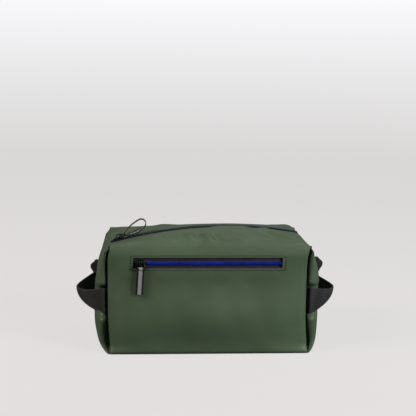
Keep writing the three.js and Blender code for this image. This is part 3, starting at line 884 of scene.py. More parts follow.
    def folded(self, z: Array) -> Array:
        """Share of the full crease at a height: none at the top corner and at the foot."""
        return smooth((self.edge_height - z) / self.fold_fade) * smooth((z + self.foot_start) / self.foot_fade)

    def rolling(self, z: Array) -> Array:
        """How far a panel's side edges lie behind its face: nothing at the top corner and at the foot."""
        from_top = smooth((self.edge_height - z) / self.roll_fade)
        return self.edge_roll * from_top * smooth((z + self.foot_start) / self.roll_foot_fade)

    def creased(self, z: Array) -> Array:
        """Depth of the crease, more at the foot."""
        return self.folded(z) * (self.crease_depth + self.foot_depth * (1 - smooth((z - 14) / 26)))

    def edge_x(self, z: Array, end: End) -> Array:
        """Outer edge of a panel: nearly upright, out of true by 2 mm, to the left on both ends."""
        hump = smooth(z / 45) * smooth((self.edge_height - z) / 16)
        upright = self.edge_foot_share * self.half_width + self.edge_gain * z / self.edge_height
        return upright - end.value * self.edge_bow * hump

    def seam(self, z: Array, end: End) -> tuple[Array, Array]:
        """Seam between panel and gusset, at the bottom of the crease.

        Args:
            z: Heights.
            end: Left or right.

        Returns:
            Distance from the middle in X and in Y, both positive.
        """
        full = self.folded(z)
        turn = np.radians(self.pinch) * full
        radius = self.edge_radius * full
        depth = self.creased(z)
        x = self.edge_x(z, end) - radius * (1 - np.cos(turn)) - np.tan(turn) * (depth - radius * (1 + np.sin(turn)))
        return x, self.half_depth - self.lean(z) - self.tucked(z) - depth - self.rolling(z)

    def rolled(self, x: Array, z: Array) -> Array:
        """How far the face has fallen back on its way to the folded edge: a power of the share of the roll's width."""
        end_x = np.where(x < 0, self.edge_x(z, End.LEFT), self.edge_x(z, End.RIGHT))
        share = np.clip((np.abs(x) - end_x + self.roll_width) / self.roll_width, 0, 1)
        return self.rolling(z) * share ** 2.2

    def rows(self) -> Array:
        """Heights of the grid rows of panels and gussets, dense at the foot and the fold."""
        foot = self.tuck * (1 - np.cos(np.linspace(0, math.pi / 2, 6)))
        top, bottom = self.window_high[1], self.window_low[1]
        rest = spans([self.tuck, 18, bottom, top, self.edge_height - 4, self.edge_height], [6, 34, 6, 5, 6])
        return np.concatenate([foot[:-1], rest])

    # Pieces.

    def panel(self, side: Face) -> MeshPart:
        """Front or back panel.

        Across, at each height, it runs from the left seam out along the lip of the crease, round the folded edge,
        over the face and back down the other crease. The front one has the pocket's window cut out.
        """
        z = self.rows()
        full = self.folded(z)[:, None]
        turn = np.radians(self.pinch) * full
        radius = self.edge_radius * full
        depth = self.creased(z)[:, None]
        runs = []
        for end in End:
            edge = self.edge_x(z, end)[:, None]
            seam_x = self.seam(z, end)[0][:, None]
            start_x = edge - radius * (1 - np.cos(turn))
            start_y = radius * (1 + np.sin(turn))
            lip = np.linspace(0, 1, 6)[None, :-1]
            bend = np.linspace(1, 0, 9)[None, :]
            angle = mix(-math.pi / 2, turn, bend)
            x = np.concatenate([mix(seam_x, start_x, lip), edge - radius + radius * np.cos(angle)], axis=1)
            back = np.concatenate([mix(depth, start_y, lip), radius + radius * np.sin(angle)], axis=1)
            runs.append((x, back))
        (left_x, left_back), (right_x, right_back) = runs
        stops = [self.window_low[0], self.window_high[0]]
        inner = spans([0, 1], [12])[1:]
        face_left = mix(-left_x[:, -1:], stops[0], inner[None])
        middle = np.linspace(*stops, 79)[1:-1]
        face_mid = np.broadcast_to(middle, (len(z), len(middle)))
        face_right = mix(stops[1], right_x[:, -1:], spans([0, 1], [12])[None, :-1])
        x = np.concatenate([-left_x, face_left, face_mid, face_right, right_x[:, ::-1]], axis=1)
        flat = np.zeros_like
        back = np.concatenate(
            [left_back, flat(face_left), flat(face_mid), flat(face_right), right_back[:, ::-1]], axis=1,
        )
        height = np.broadcast_to(z[:, None], x.shape)
        out = self.half_depth + self.bellied(x, height) - self.lean(height) - self.tucked(height) - back
        face = slice(left_x.shape[1], x.shape[1] - right_x.shape[1])
        roll = np.broadcast_to(self.rolling(z)[:, None], x.shape).copy()
        roll[:, face] = self.rolled(x[:, face], height[:, face])
        out = out - roll + self.waves(x, height, side)
        points = gridded(x, side.value * out, height)
        uv = gridded(x + side.value * back, height)
        keep = np.ones((len(z) - 1, x.shape[1] - 1), bool)
        if side is Face.FRONT:
            mid_x = (x[0, :-1] + x[0, 1:]) / 2
            mid_z = (z[:-1] + z[1:]) / 2
            in_x = (mid_x > self.window_low[0]) & (mid_x < self.window_high[0])
            in_z = (mid_z > self.window_low[1]) & (mid_z < self.window_high[1])
            keep = ~(in_z[:, None] & in_x[None, :])
        return sheet_part(points, uv, flip=side is Face.FRONT, keep=keep)

    def waves(self, x: Array, z: Array, side: Face) -> Array:
        """Slack of the cloth: a few long crossing sine waves, still at the edges and round the pocket."""
        calm = smooth((self.half_width - np.abs(x) - 2) / 14) * smooth(z / 16) * smooth((88 - z) / 16)
        turn = 0.0 if side is Face.FRONT else 1.7
        wave = 0.45 * np.sin(0.055 * x + 0.05 * z + turn) * np.sin(0.031 * z + 0.4)
        wave = wave + 0.22 * np.sin(0.13 * x - 0.04 * z + 1.1 + turn) + 0.12 * np.sin(0.21 * x + 0.09 * z + 2.0)
        return calm * (wave - 0.5)

    def section(self, share: Array, end: End) -> tuple[Array, Array]:
        """Level section of a gusset, from the front seam to the middle of its depth.

        From the seam it crosses to the far side of the crease and runs forward along it, so that a slot stays open
        beside the panel, wider at the foot. A quarter ellipse turns it out, and a quarter of a superellipse takes it
        back to the middle. Beside the handle it stays low, behind the webbing.

        Args:
            share: Heights as shares of the gusset's height, (rows, 1).
            end: Left or right.

        Returns:
            Distances from the middle in X and in Y, each (rows, columns).
        """
        z = share * self.edge_height
        seam_x, seam_y = self.seam(z, end)
        full = self.folded(z)
        below, above = 1 - smooth((z - self.webbing_foot) / 6), smooth((z - self.webbing_head) / 6)
        lobe = full * (self.lobe_behind_webbing + self.lobe_below * below + self.lobe_above * above)
        wall = self.wall(z, end)
        cross = np.linspace(0, 1, 5)[None, :-1]
        forward = np.linspace(0, 1, 6)[None, :-1]
        turn = np.linspace(0, math.pi / 2, 9)[None, :-1]
        outer = np.linspace(0, math.pi / 2, 36)[None, :]
        bend = 2.0 * full
        round_x, round_y = 3.0 * full, np.minimum(bend, 0.8 * lobe)
        straight = np.maximum(lobe - round_y, 0) * forward
        crest = wall + round_x
        x = [mix(seam_x, wall, cross), np.broadcast_to(wall, straight.shape), wall + round_x * (1 - np.cos(turn))]
        y = [np.broadcast_to(seam_y, (len(z), 4)), seam_y + straight, seam_y + lobe - round_y * (1 - np.sin(turn))]
        x.append(crest + (self.profile(share) - crest) * np.sin(outer) ** 0.8)
        y.append((seam_y + lobe) * np.cos(outer) ** 0.8)
        return np.concatenate(x, axis=1), np.concatenate(y, axis=1)

    def wall(self, z: Array, end: End) -> Array:
        """Far side of the crease, where the gusset and the webbing stand clear of the panel's edge."""
        return self.edge_x(z, end) + self.folded(z) * (self.slot + self.foot_slot * (1 - smooth((z - 10) / 28)))

    def gusset(self, end: End) -> MeshPart:
        """Side gusset: its sections stacked up, front and back alike, up to the end of the roof."""
        share = (self.rows() / self.edge_height)[:, None]
        x, y = self.section(share, end)
        x = np.concatenate([x, x[:, -2::-1]], axis=1)
        y = np.concatenate([-y, y[:, -2::-1]], axis=1)
        top = self.roof(np.full_like(y, end.value * self.half_width), y, Face.FRONT)
        z = share * top
        calm = smooth((x - self.half_width) / 9) * smooth(z / 20) * smooth((104 - z) / 24)
        x = x + 0.6 * np.sin(0.09 * y + 0.06 * z) * calm
        return sheet_part(gridded(end.value * x, y, z), gridded(y, z), flip=end is End.RIGHT)

    def profile(self, share: Array) -> Array:
        """Distance of a gusset from the middle, at its fullest, by the share of its height.

        The bulge, less a power of 3.8 of the share above the fullest height, less 0.65 of a fifth power of the share
        below it.
        """
        above = np.clip((share - self.fullest) / (1 - self.fullest), 0, 1) ** 3.8
        below = 0.65 * np.clip((self.fullest - share) / self.fullest, 0, 1) ** 5
        return self.half_width + self.side_bulge * (1 - above - below)

    def roof_quarter(self, side: Face, end: End) -> MeshPart:
        """Quarter of the roof, from the middle to one end and from the fold to the zip."""
        x = end.value * spans([0, self.half_width - 10, self.half_width], [60, 14])[:, None]
        shoulder_foot = 0.72
        near = spans([1.0, shoulder_foot, self.mouth / self.fold_y], [20, 24])[None, :]
        y = side.value * self.fold_y * near
        x, y = np.broadcast_arrays(x, y)
        z = self.roof(x, y, side)
        return sheet_part(gridded(x, y, z), gridded(x, y), flip=side.value * end.value > 0)

    def base(self) -> MeshPart:
        """Base: flat, between the feet of the panels and the gussets, with even rows from front to back."""
        outlines = []
        for end in End:
            x, y = self.section(np.zeros((1, 1)), end)
            order = np.argsort(y[0])
            outlines.append((y[0, order], x[0, order]))
        y = np.linspace(-1, 1, 81)[:, None] * outlines[0][0][-1]
        left_x, right_x = (np.interp(np.abs(y), *outline) for outline in outlines)
        x = mix(-left_x, right_x, np.linspace(0, 1, 41)[None, :])
        points = gridded(x, y, 0.0)
        return sheet_part(points, points[..., :2])

    # Building.

    def follow(self, obj: Object, side: Face, end: End) -> Object:
        """Bakes a quarter of the roof or of its zip into its mesh, where it stays at rest on no body.
        """
        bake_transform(obj)
        return obj

    def build(self) -> list[Object]:
        """Builds and dresses the shell."""
        sewn = [
            *[(self.panel(side), f"{side.word}_panel_cloth", f"{side.word}_panel") for side in Face],
            *[(self.gusset(end), f"{end.word}_gusset_cloth", f"{end.word}_gusset") for end in End],
            (self.base(), "base_cloth", "base_panel"),
        ]
        made = [
            placed(part, name, COATED_CLOTH, [node], "root", sharp=60, inner=LINING_CLOTH) for part, name, node in sewn
        ]
        for side in Face:
            for end in End:
                quarter = placed(
                    self.roof_quarter(side, end), f"roof_{side.word}_{end.word}_cloth", COATED_CLOTH,
                    [f"top_{end.word}_end_{side.word}", f"top_{side.word}_flap"], sharp=60, inner=LINING_CLOTH,
                )
                made.append(self.follow(quarter, side, end))
        for obj in made:
            thicken(obj, self.roof_cloth if obj.name.startswith("roof") else self.cloth, inner_slot=1)
        return made


@dataclass
class Inside:
    """What shows when the bag is open, and what lies behind it: lining, pocket pouch and base board."""

    lining_thickness: float = 0.5
    pouch_thickness: float = 0.6

    def tray(self) -> MeshPart:
        """Lining: a rounded tray, from the middle of its floor out to the corner, up the wall to the hem."""
        low, high = node_box("lining")
        turn = np.linspace(0, 2 * math.pi, 144, endpoint=False)[None, :]
        square = (np.abs(np.cos(turn)) ** 9 + np.abs(np.sin(turn)) ** 9) ** (-1 / 9)
        floor = np.array([0.02, 0.3, 0.6, 0.85, 0.96, 1.0])
        wall = np.linspace(0, 1, 30)[1:]
        reach = np.concatenate([floor, np.ones(len(wall))])[:, None]
        up = np.concatenate([np.zeros(len(floor)), wall])[:, None]
        slack = 1 - 0.012 * np.sin(math.pi * up) * (1 + 0.6 * np.sin(9 * turn + 4 * up))
        half, middle = (high - low) / 2, (high + low) / 2
        x = middle[0] + half[0] * square * np.cos(turn) * reach * slack
        y = middle[1] + half[1] * square * np.sin(turn) * reach * slack
        z = low[2] + 1.0 * (1 - reach) + (high[2] - low[2]) * up
        rings, uv = gridded(x, y, z), gridded(turn * 55, z)
        quads = grid_quads(*rings.shape[:2], wrap_columns=True, flip=True).reshape(-1, 4)
        heart = rings[0].mean(axis=0)
        points = np.concatenate([rings.reshape(-1, 3), heart[None]])
        j = np.arange(144)
        cap = np.stack([(j + 1) % 144, j, np.full(144, len(points) - 1)], axis=1)
        return MeshPart(points, quads, cap, np.concatenate([uv.reshape(-1, 2), [[0.0, 0.0]]]))

    def pouch(self) -> MeshPart:
        """Pocket pouch: a pillow-shaped sheet that hangs behind the front panel, shut at its sides and foot."""
        low, high = node_box("pocket_pouch")
        u = np.sin(np.linspace(-math.pi / 2, math.pi / 2, 49))[:, None]
        v = np.linspace(0, 1, 25)[None, :]
        full = (1 - np.abs(u) ** 8) * np.minimum(1, (1 - (1 - v) ** 8))
        x = mix(low[0], high[0], (u + 1) / 2)
        y = mix(low[1], high[1] - 0.4, full)
        points = gridded(x, y, mix(low[2], high[2], v))
        return sheet_part(points, points[..., [0, 2]], flip=True)

    def build(self) -> list[Object]:
        """Builds and dresses the inside."""
        lining = placed(self.tray(), "lining_cloth", LINING_CLOTH, ["lining"], "root", sharp=60)
        pouch = placed(self.pouch(), "pocket_pouch_cloth", LINING_CLOTH, ["pocket_pouch"], "root", sharp=60)
        thicken(lining, self.lining_thickness)
        thicken(pouch, self.pouch_thickness)
        BASE_BOARD.dress(frame["nodes"]["base_board"])
        return [lining, pouch]


# ---------------------------------------------------------------- zips


@dataclass
class ZipHardware:
    """Shapes that both zips share, each in its own frame: X along the zip, Y across it, Z out of the tape."""

    coil_low: float = 0.3
    coil_high: float = 2.2
    coil_edge: float = 1.8
    tooth_pitch: float = 1.25
    tooth_width: float = 1.22
    plate_low: float = 2.6
    plate_high: float = 3.6
    under_high: float = -1.1
    under_low: float = -2.1
    bridge_top: float = 7.2
    bridge_half: float = 3.1
    plate_reach: float = 6.0
    plate_half: float = 3.72
    plate_taper: float = 0.08
    plate_widest: float = 4.2
    post_x: float = -4.0
    post_length: float = 3.0
    post_width: float = 0.7
    stop_near: float = 0.7
    stop_far: float = 3.1
    link_length: float = 6.5
    link_wire: float = 1.1
    link_top: float = 3.2
    link_end: float = 5.6
    ribbon_width: float = 7.6
    ribbon_ply: float = 0.9
    ribbon_eye: float = 1.45

    def tooth(self) -> MeshPart:
        """One turn of the coil on one side: a bent bar, thick at the middle of the zip, rounded at both ends."""
        station = np.array([0.0, 0.08, 0.3, 0.7, 0.93, 1.0])
        size = np.array([0.45, 0.85, 1.0, 0.9, 0.7, 0.35])
        half = (self.coil_high - self.coil_low) / 2
        middle = (self.coil_high + self.coil_low) / 2
        y = mix(-0.35, self.coil_edge, station)
        profile = round_profile(self.tooth_width, 2 * half, 8)
        return capped_rings(gridded(
            profile[None, :, 0] * size[:, None] + 0.12 * (station[:, None] - 0.5), y[:, None],
            middle + profile[None, :, 1] * size[:, None],
        ))

    def stop(self, low_y: float, high_y: float, length: float = 1.3) -> MeshPart:
        """End stop: a small bent clip over the coil."""
        turn = np.linspace(0, 2 * math.pi, 24, endpoint=False)
        shape = (np.abs(np.cos(turn)) ** 5 + np.abs(np.sin(turn)) ** 5) ** (-1 / 5)
        outline = np.stack([length / 2 * shape * np.cos(turn), (high_y - low_y) / 2 * shape * np.sin(turn)], axis=1)
        plate = domed_plate(outline, self.coil_low, self.coil_high - 0.1, 0.15)
        return plate.moved(np.array([0, (low_y + high_y) / 2, 0]), *np.eye(3))

    def slider(self, bridge_x: float, turned: bool) -> MeshPart:
        """Slider: two shouldered plates joined by a post, and an arched bridge for the puller.

        The plates' outline is a superellipse, wider at the nose. The bridge is a flat bar along a squared arch.

        Args:
            bridge_x: Place of the bridge along the zip.
            turned: Whether the bridge lies across the zip.

        Returns:
            The slider.
        """
        turn = np.linspace(0, 2 * math.pi, 40, endpoint=False)
        square = (np.abs(np.cos(turn)) ** 3.4 + np.abs(np.sin(turn)) ** 3.4) ** (-1 / 3.4)
        x = self.plate_reach * square * np.cos(turn)
        y = (self.plate_half - self.plate_taper * x) * square * np.sin(turn)
        outline = gridded(x, np.clip(y, -self.plate_widest, self.plate_widest))
        plates = [
            domed_plate(outline, self.plate_low, self.plate_high, 0.35),
            domed_plate(outline, self.under_low, self.under_high, 0.35),
        ]
        post = round_profile(self.post_length, self.post_width, 16)
        ring = np.array([self.under_high - 0.3, 0.0, 1.0, self.plate_low + 0.3])
        post_part = capped_rings(gridded(post[None, :, 0], post[None, :, 1], ring[:, None]))
        post_part = post_part.moved(self.post_x * ALONG_X, *np.eye(3))
        arch = np.linspace(0, math.pi, 33)
        rise = self.bridge_top - 0.5 - (self.plate_high - 0.5)
        reach = self.bridge_half * np.sign(np.cos(arch)) * np.abs(np.cos(arch)) ** 0.45
        path = gridded(reach, 0.0, self.plate_high - 0.5 + rise * np.sin(arch) ** 0.6)
        across = np.tile(ALONG_Y, (len(arch), 1))
        bridge = capped_rings(carried(path, across, band_profile(3.0, 1.0, 5, 4))[0])
        if turned:
            bridge = bridge.moved(np.zeros(3), ALONG_Y, -ALONG_X, ALONG_Z)
        bridge = bridge.moved(bridge_x * ALONG_X, *np.eye(3))
        rivets = []
        spots, wide = ([(-2.9, 1.5), (2.9, 1.5)], 2.7) if turned else ([(4.1, -2.0), (4.1, 2.0)], 2.0)
        for spot in spots:
            dot = domed_plate(round_profile(wide, wide, 20), self.plate_high - 0.1, self.plate_high + 0.9, 0.5)
            rivets.append(dot.moved(np.array([*spot, 0]), *np.eye(3)))
        return joined([*plates, post_part, bridge, *rivets])

    def link(self) -> MeshPart:
        """Puller link: round wire round a trapezoid with rounded corners, pivot bar at the origin, ribbon bar at +X."""
        corners = np.array([
            [0, -self.link_top], [self.link_length, -self.link_end], [self.link_length, self.link_end],
            [0, self.link_top],
        ])
        before, after = np.roll(corners, 1, axis=0), np.roll(corners, -1, axis=0)
        radius = 1.1
        entry = corners + radius * unit(before - corners)
        leave = corners + radius * unit(after - corners)
        t = np.linspace(0, 1, 7)[None, :, None]
        bend = (1 - t) ** 2 * entry[:, None] + 2 * t * (1 - t) * corners[:, None] + t ** 2 * leave[:, None]
        straight = mix(leave[:, None], np.roll(entry, -1, axis=0)[:, None], np.linspace(0, 1, 6)[None, 1:-1, None])
        flat = np.concatenate([bend, straight], axis=1).reshape(-1, 2)
        path = np.concatenate([flat, np.zeros((len(flat), 1))], axis=1)
        across = np.tile(ALONG_Z, (len(path), 1))
        return ring_band(*carried(path, across, round_profile(self.link_wire, self.link_wire, 10), closed=True))

    def ribbon_loop(self, length: float, radius: float) -> MeshPart:
        """Ribbon sewn into a loop: a flat band round a teardrop, held by the ribbon bar in its narrow end."""
        path = teardrop_path(self.ribbon_eye, radius + self.ribbon_ply / 2, length, 24)
        waist = np.sin(math.pi * np.clip(path[:, 0] / length, 0, 1))
        under, over = smooth(-path[:, 2] / 1.5) * waist, smooth(path[:, 2] / 1.5) * waist
        path[:, 2] += 1.2 * over - 1.5 * under
        across = unit(np.stack([0.1 * over, np.ones_like(under), 0.35 * under], axis=1))
        profile = band_profile(self.ribbon_width, self.ribbon_ply, 11, 3)
        return ring_band(*carried(path, across, profile, closed=True))

    def ribbon_tail(self, length: float) -> MeshPart:
        """Ribbon folded double, round the ribbon bar at the origin, its two cut ends at the far end."""
        ply = self.ribbon_ply / 2
        start = 3.2
        turn = np.linspace(0.55, 2 * math.pi - 0.55, 21)
        eye = np.stack([self.ribbon_eye * np.cos(turn), self.ribbon_eye * np.sin(turn)], axis=1)
        neck = np.array([[start, ply + 0.02]])
        run = np.linspace(length, start, 24)[:, None]
        top = np.concatenate([run, np.full_like(run, ply + 0.02)], axis=1)
        flat = np.concatenate([top, eye, (neck * [1, -1]), top[-2::-1] * [1, -1]])
        path = np.stack([flat[:, 0], np.zeros(len(flat)), flat[:, 1]], axis=1)
        across = np.tile(ALONG_Y, (len(path), 1))
        return capped_rings(*carried(path, across, band_profile(self.ribbon_width, self.ribbon_ply, 11, 3)))


@dataclass
class TopZip:
    """Arched zip along the roof, parked shut at its left end."""

    shell: BagShell
    hardware: ZipHardware = field(default_factory=ZipHardware)
    tape_depth: float = 1.6
    tape_thickness: float = 0.7
    tape_edge: float = 12.0
    gap: float = 0.5
    inset_left: float = 1.2
    inset_right: float = 5.0
    park_inset: float = 9.0
    stop_inset: float = 0.65
    coil_inset: float = 2.4
    dip_start: float = 2.0
    dip_run: float = 3.2
    dip_end: float = 5.4
    lip_spare: float = 0.3
    bridge_shift: float = 1.0
    link_lift: float = 24.0
    loop_lift: float = 33.0
    loop_length: float = 21.5
    loop_radius: float = 4.5

    def place(self, x: Array | float) -> tuple[Array, Array, Array]:
        """Point on the outer face of the tape above x, and the directions along the zip and out of it."""
        shell, x = self.shell, np.atleast_1d(x)
        angle = np.arcsin((x - shell.crown_x) / shell.roof_radius)
        radius = shell.roof_radius - self.tape_depth
        out = gridded(np.sin(angle), 0.0, np.cos(angle))
        along = gridded(np.cos(angle), 0.0, -np.sin(angle))
        points = np.array([shell.crown_x, 0, shell.arc_z]) + radius * out
        points[:, 2] -= shell.ending(x)
        return points, along, out

    def reach(self, end: End) -> float:
        """Where the zip ends."""
        return end.value * (self.shell.half_width - (self.inset_left if end is End.LEFT else self.inset_right))

    def tape(self, side: Face, end: End) -> MeshPart:
        """Tape from the middle of the bag to one end, on one side of the coil."""
        points, _, _ = self.place(np.linspace(0, self.reach(end), 70))
        off = side.value * spans([self.gap, self.dip_end, self.tape_edge], [9, 4])
        steep = np.maximum(self.shell.lip_drop(points[:, 0], side) - self.lip_spare, 0)[:, None]
        dip = steep * smooth((np.abs(off) - self.dip_start) / self.dip_run)
        grid = points[:, None] + off[None, :, None] * ALONG_Y - dip[..., None] * ALONG_Z
        return sheet_part(grid, gridded(path_length(points)[:, None], off[None]), flip=side.value * end.value < 0)

    def coil(self, side: Face, end: End) -> MeshPart:
        """Coil from the middle of the bag to one end: one tooth for each turn, the two sides half a turn apart."""
        pitch = self.hardware.tooth_pitch
        stop = abs(self.reach(end)) - self.coil_inset
        shift = 0.25 if side is Face.FRONT else 0.75
        x = end.value * (np.arange(int(stop / pitch)) + (shift if end is End.RIGHT else 1 - shift)) * pitch
        points, along, out = self.place(x)
        across = np.tile(side.value * ALONG_Y, (len(x), 1))
        return outward(copies(self.hardware.tooth(), points, along, across, out))

    def build(self) -> list[Object]:
        """Builds and dresses the zip."""
        made = []
        hardware = self.hardware
        for side in Face:
            for end in End:
                # The roof coil's finish is the pocket's blue darkened to dark navy: painted shade.
                kinds = (("tape", self.tape(side, end), ZIP_TAPE), ("coil", self.coil(side, end), MAIN_COIL_PAINTED_SHADE))
                for kind, part, finish in kinds:
                    nodes = [f"main_{kind}_{side.word}_{run}" for run in (end.word, "middle")]
                    obj = placed(part, f"top_{kind}_{side.word}_{end.word}", finish, nodes)
                    if kind == "tape":
                        thicken(obj, self.tape_thickness)
                    made.append(self.shell.follow(obj, side, end))
            points, along, out = self.place(self.reach(End.LEFT) + self.stop_inset)
            clip = hardware.stop(hardware.stop_near, hardware.stop_far)
            clip = outward(clip.moved(points[0], along[0], side.value * ALONG_Y, out[0]))
            nodes = [f"main_top_stop_{side.word}"]
            made.append(placed(clip, f"top_stop_{side.word}", BLACK_METAL, nodes, "root"))
        points, along, out = self.place(self.reach(End.RIGHT) - self.stop_inset)
        clip = hardware.stop(-hardware.stop_far, hardware.stop_far).moved(points[0], along[0], ALONG_Y, out[0])
        made.append(placed(clip, "bottom_stop", BLACK_METAL, ["main_bottom_stop"], "root"))
        return made + self.pull()

    def pull(self) -> list[Object]:
        """Slider, puller link and ribbon loop."""
        hardware = self.hardware
        points, along, out = self.place(-self.shell.half_width + self.park_inset)
        slider = hardware.slider(self.bridge_shift, turned=False).moved(points[0], along[0], ALONG_Y, out[0])
        pivot = joint_place("main_puller_swing")

        def tilted(lift: float) -> tuple[Array, Array, Array]:
            """Frame with X lifted above level."""
            angle = math.radians(lift)
            return (
                np.array([math.cos(angle), 0, math.sin(angle)]), ALONG_Y,
                np.array([-math.sin(angle), 0, math.cos(angle)]),
            )

        link_frame = tilted(self.link_lift)
        link = hardware.link().moved(pivot, *link_frame)
        bar = pivot + hardware.link_length * link_frame[0]
        loop = hardware.ribbon_loop(self.loop_length, self.loop_radius).moved(bar, *tilted(self.loop_lift))
        return [
            placed(slider, "top_slider_cast", BLACK_METAL, ["main_slider"], "main_slider"),
            placed(link, "top_pull_wire", BLACK_METAL, ["main_pull_link"], "main_puller"),
            placed(loop, "top_pull_loop", PULLER_RIBBON, ["main_pull_ribbon"], "main_puller"),
        ]


@dataclass
class PocketZip:
    """Straight zip behind the window of the front panel, parked at its left end, with its line of stitching."""

    shell: BagShell
    hardware: ZipHardware = field(default_factory=ZipHardware)
    tape_thickness: float = 0.7
    gap: float = 0.5
    sag: float = 1.4
    ribbon_length: float = 27.0
    ribbon_tilt: float = 3.0
    stitch_pitch: float = 2.8
    stitch_length: float = 2.0
    stitch_radius: float = 0.44
    clip_length: float = 1.0
    margin_low: tuple[float, float] = (2.6, 1.7)
    margin_high: tuple[float, float] = (3.2, 1.9)

    def __post_init__(self) -> None:
        """Takes the zip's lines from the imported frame."""
        upper_low, upper_high = node_box("pocket_tape_upper")
        lower_low, _ = node_box("pocket_tape_lower")
        self.tape_y = float(upper_low[1])
        self.centre_z = float(upper_high[2] + lower_low[2]) / 2 - self.sag
        self.tape_edge = float(upper_high[2]) - self.centre_z
        self.tape_from, self.tape_to = float(upper_low[0]), float(upper_high[0])
        self.axes = np.array([ALONG_X, ALONG_Z, -ALONG_Y])

    def at(self, x: float) -> Array:
        """Point on the outer face of the tape at a place along the zip."""
        return np.array([x, self.tape_y, self.centre_z])

    def tape(self, side: int) -> MeshPart:
        """Upper (1) or lower (-1) tape."""
        x = np.linspace(self.tape_from, self.tape_to, 60)[:, None]
        off = side * np.linspace(self.gap, self.tape_edge, 8)[None, :]
        return sheet_part(gridded(x, self.tape_y, self.centre_z + off), gridded(x, off), flip=side < 0)

    def coil(self, side: int) -> MeshPart:
        """Upper (1) or lower (-1) coil."""
        pitch = self.hardware.tooth_pitch
        low, high = node_box("pocket_coil_upper")
        x = np.arange(low[0] + pitch * (0.5 if side > 0 else 1.0), high[0] - 0.3, pitch)
        origins = gridded(x, self.tape_y, self.centre_z)
        frames = [np.tile(axis, (len(x), 1)) for axis in (self.axes[0], side * self.axes[1], self.axes[2])]
        return outward(copies(self.hardware.tooth(), origins, *frames))

    def stitches(self) -> MeshPart:
        """Lock stitches in a rectangle round the window, each a flat bead that dips into the cloth at both ends."""
        low = self.shell.window_low - np.array(self.margin_low)
        high = self.shell.window_high + np.array(self.margin_high)
        corners = np.array([[low[0], low[1]], [high[0], low[1]], [high[0], high[1]], [low[0], high[1]]])
        places, along = [], []
        for first, last in zip(corners, np.roll(corners, -1, axis=0)):
            length = float(np.linalg.norm(last - first))
            count = max(1, round(length / self.stitch_pitch))
            share = (np.arange(count) + 0.5)[:, None] / count
            places.append(mix(first, last, share))
            along.append(np.tile((last - first) / length, (count, 1)))
        spot, run = np.concatenate(places), np.concatenate(along)
        y = -(self.shell.half_depth + self.shell.bellied(spot[:, 0], spot[:, 1]) - self.shell.lean(spot[:, 1]))
        origins, forward = gridded(spot[:, 0], y, spot[:, 1]), gridded(run[:, 0], 0.0, run[:, 1])
        out = np.tile(-ALONG_Y, (len(run), 1))
        return outward(copies(self.bead(), origins, forward, np.cross(out, forward), out))

    def bead(self) -> MeshPart:
        """One stitch: an elliptical bar that follows half a sine wave, thin at both ends."""
        share = np.linspace(0, 1, 6)
        size = 0.35 + 0.65 * np.sin(math.pi * share)
        profile = round_profile(2 * self.stitch_radius, 1.4 * self.stitch_radius, 6)
        return capped_rings(gridded(
            ((share - 0.5) * self.stitch_length)[:, None], profile[None, :, 0] * size[:, None],
            0.16 * np.sin(math.pi * share)[:, None] - 0.05 + profile[None, :, 1] * size[:, None],
        ))

    def build(self) -> list[Object]:
        """Builds and dresses the pocket zip."""
        made = []
        hardware = self.hardware
        for side, word in ((1, "upper"), (-1, "lower")):
            tape = placed(self.tape(side), f"pocket_tape_{word}_cloth", ZIP_TAPE, [f"pocket_tape_{word}"], "root")
            thicken(tape, self.tape_thickness)
            coil = placed(self.coil(side), f"pocket_coil_{word}_teeth", POCKET_COIL, [f"pocket_coil_{word}"], "root")
            node = f"pocket_top_stop_{word}"
            clip = hardware.stop(hardware.stop_near, hardware.stop_far, self.clip_length)
            clip = clip.moved(self.at(self.middle_x(node)), self.axes[0], side * self.axes[1], self.axes[2])
            made += [tape, coil, placed(outward(clip), f"{node}_clip", BLACK_METAL, [node], "root")]
        node = "pocket_bottom_stop"
        clip = hardware.stop(-hardware.stop_far, hardware.stop_far, self.clip_length)
        clip = clip.moved(self.at(self.middle_x(node)), *self.axes)
        made.append(placed(clip, f"{node}_clip", BLACK_METAL, [node], "root"))
        made.append(placed(self.stitches(), "pocket_stitching", THREAD, [], "root"))
        return made + self.pull()

    @staticmethod
    def middle_x(node: str) -> float:
        """Place of a node's middle along the zip."""
        low, high = node_box(node)
        return (low[0] + high[0]) / 2

    def pull(self) -> list[Object]:
        """Slider, puller link and folded ribbon."""
        hardware = self.hardware
        pivot = joint_place("pocket_puller_lift")
        slider = outward(hardware.slider(0.0, turned=True).moved(self.at(float(pivot[0])), *self.axes))
        link = hardware.link().moved(pivot, -ALONG_Z, ALONG_X, -ALONG_Y)
        tilt = math.radians(self.ribbon_tilt)
        down = np.array([-math.sin(tilt), 0, -math.cos(tilt)])
        across = np.array([math.cos(tilt), 0, -math.sin(tilt)])
        bar = pivot - hardware.link_length * ALONG_Z
        ribbon = hardware.ribbon_tail(self.ribbon_length).moved(bar, down, across, -ALONG_Y)
        return [
            placed(slider, "pocket_slider_cast", BLACK_METAL, ["pocket_slider"], "pocket_slider"),
            placed(link, "pocket_pull_wire", BLACK_METAL, ["pocket_pull_link"], "pocket_puller"),
            placed(ribbon, "pocket_pull_tail", PULLER_RIBBON, ["pocket_pull_ribbon"], "pocket_puller"),
        ]


# ---------------------------------------------------------------- side webbing


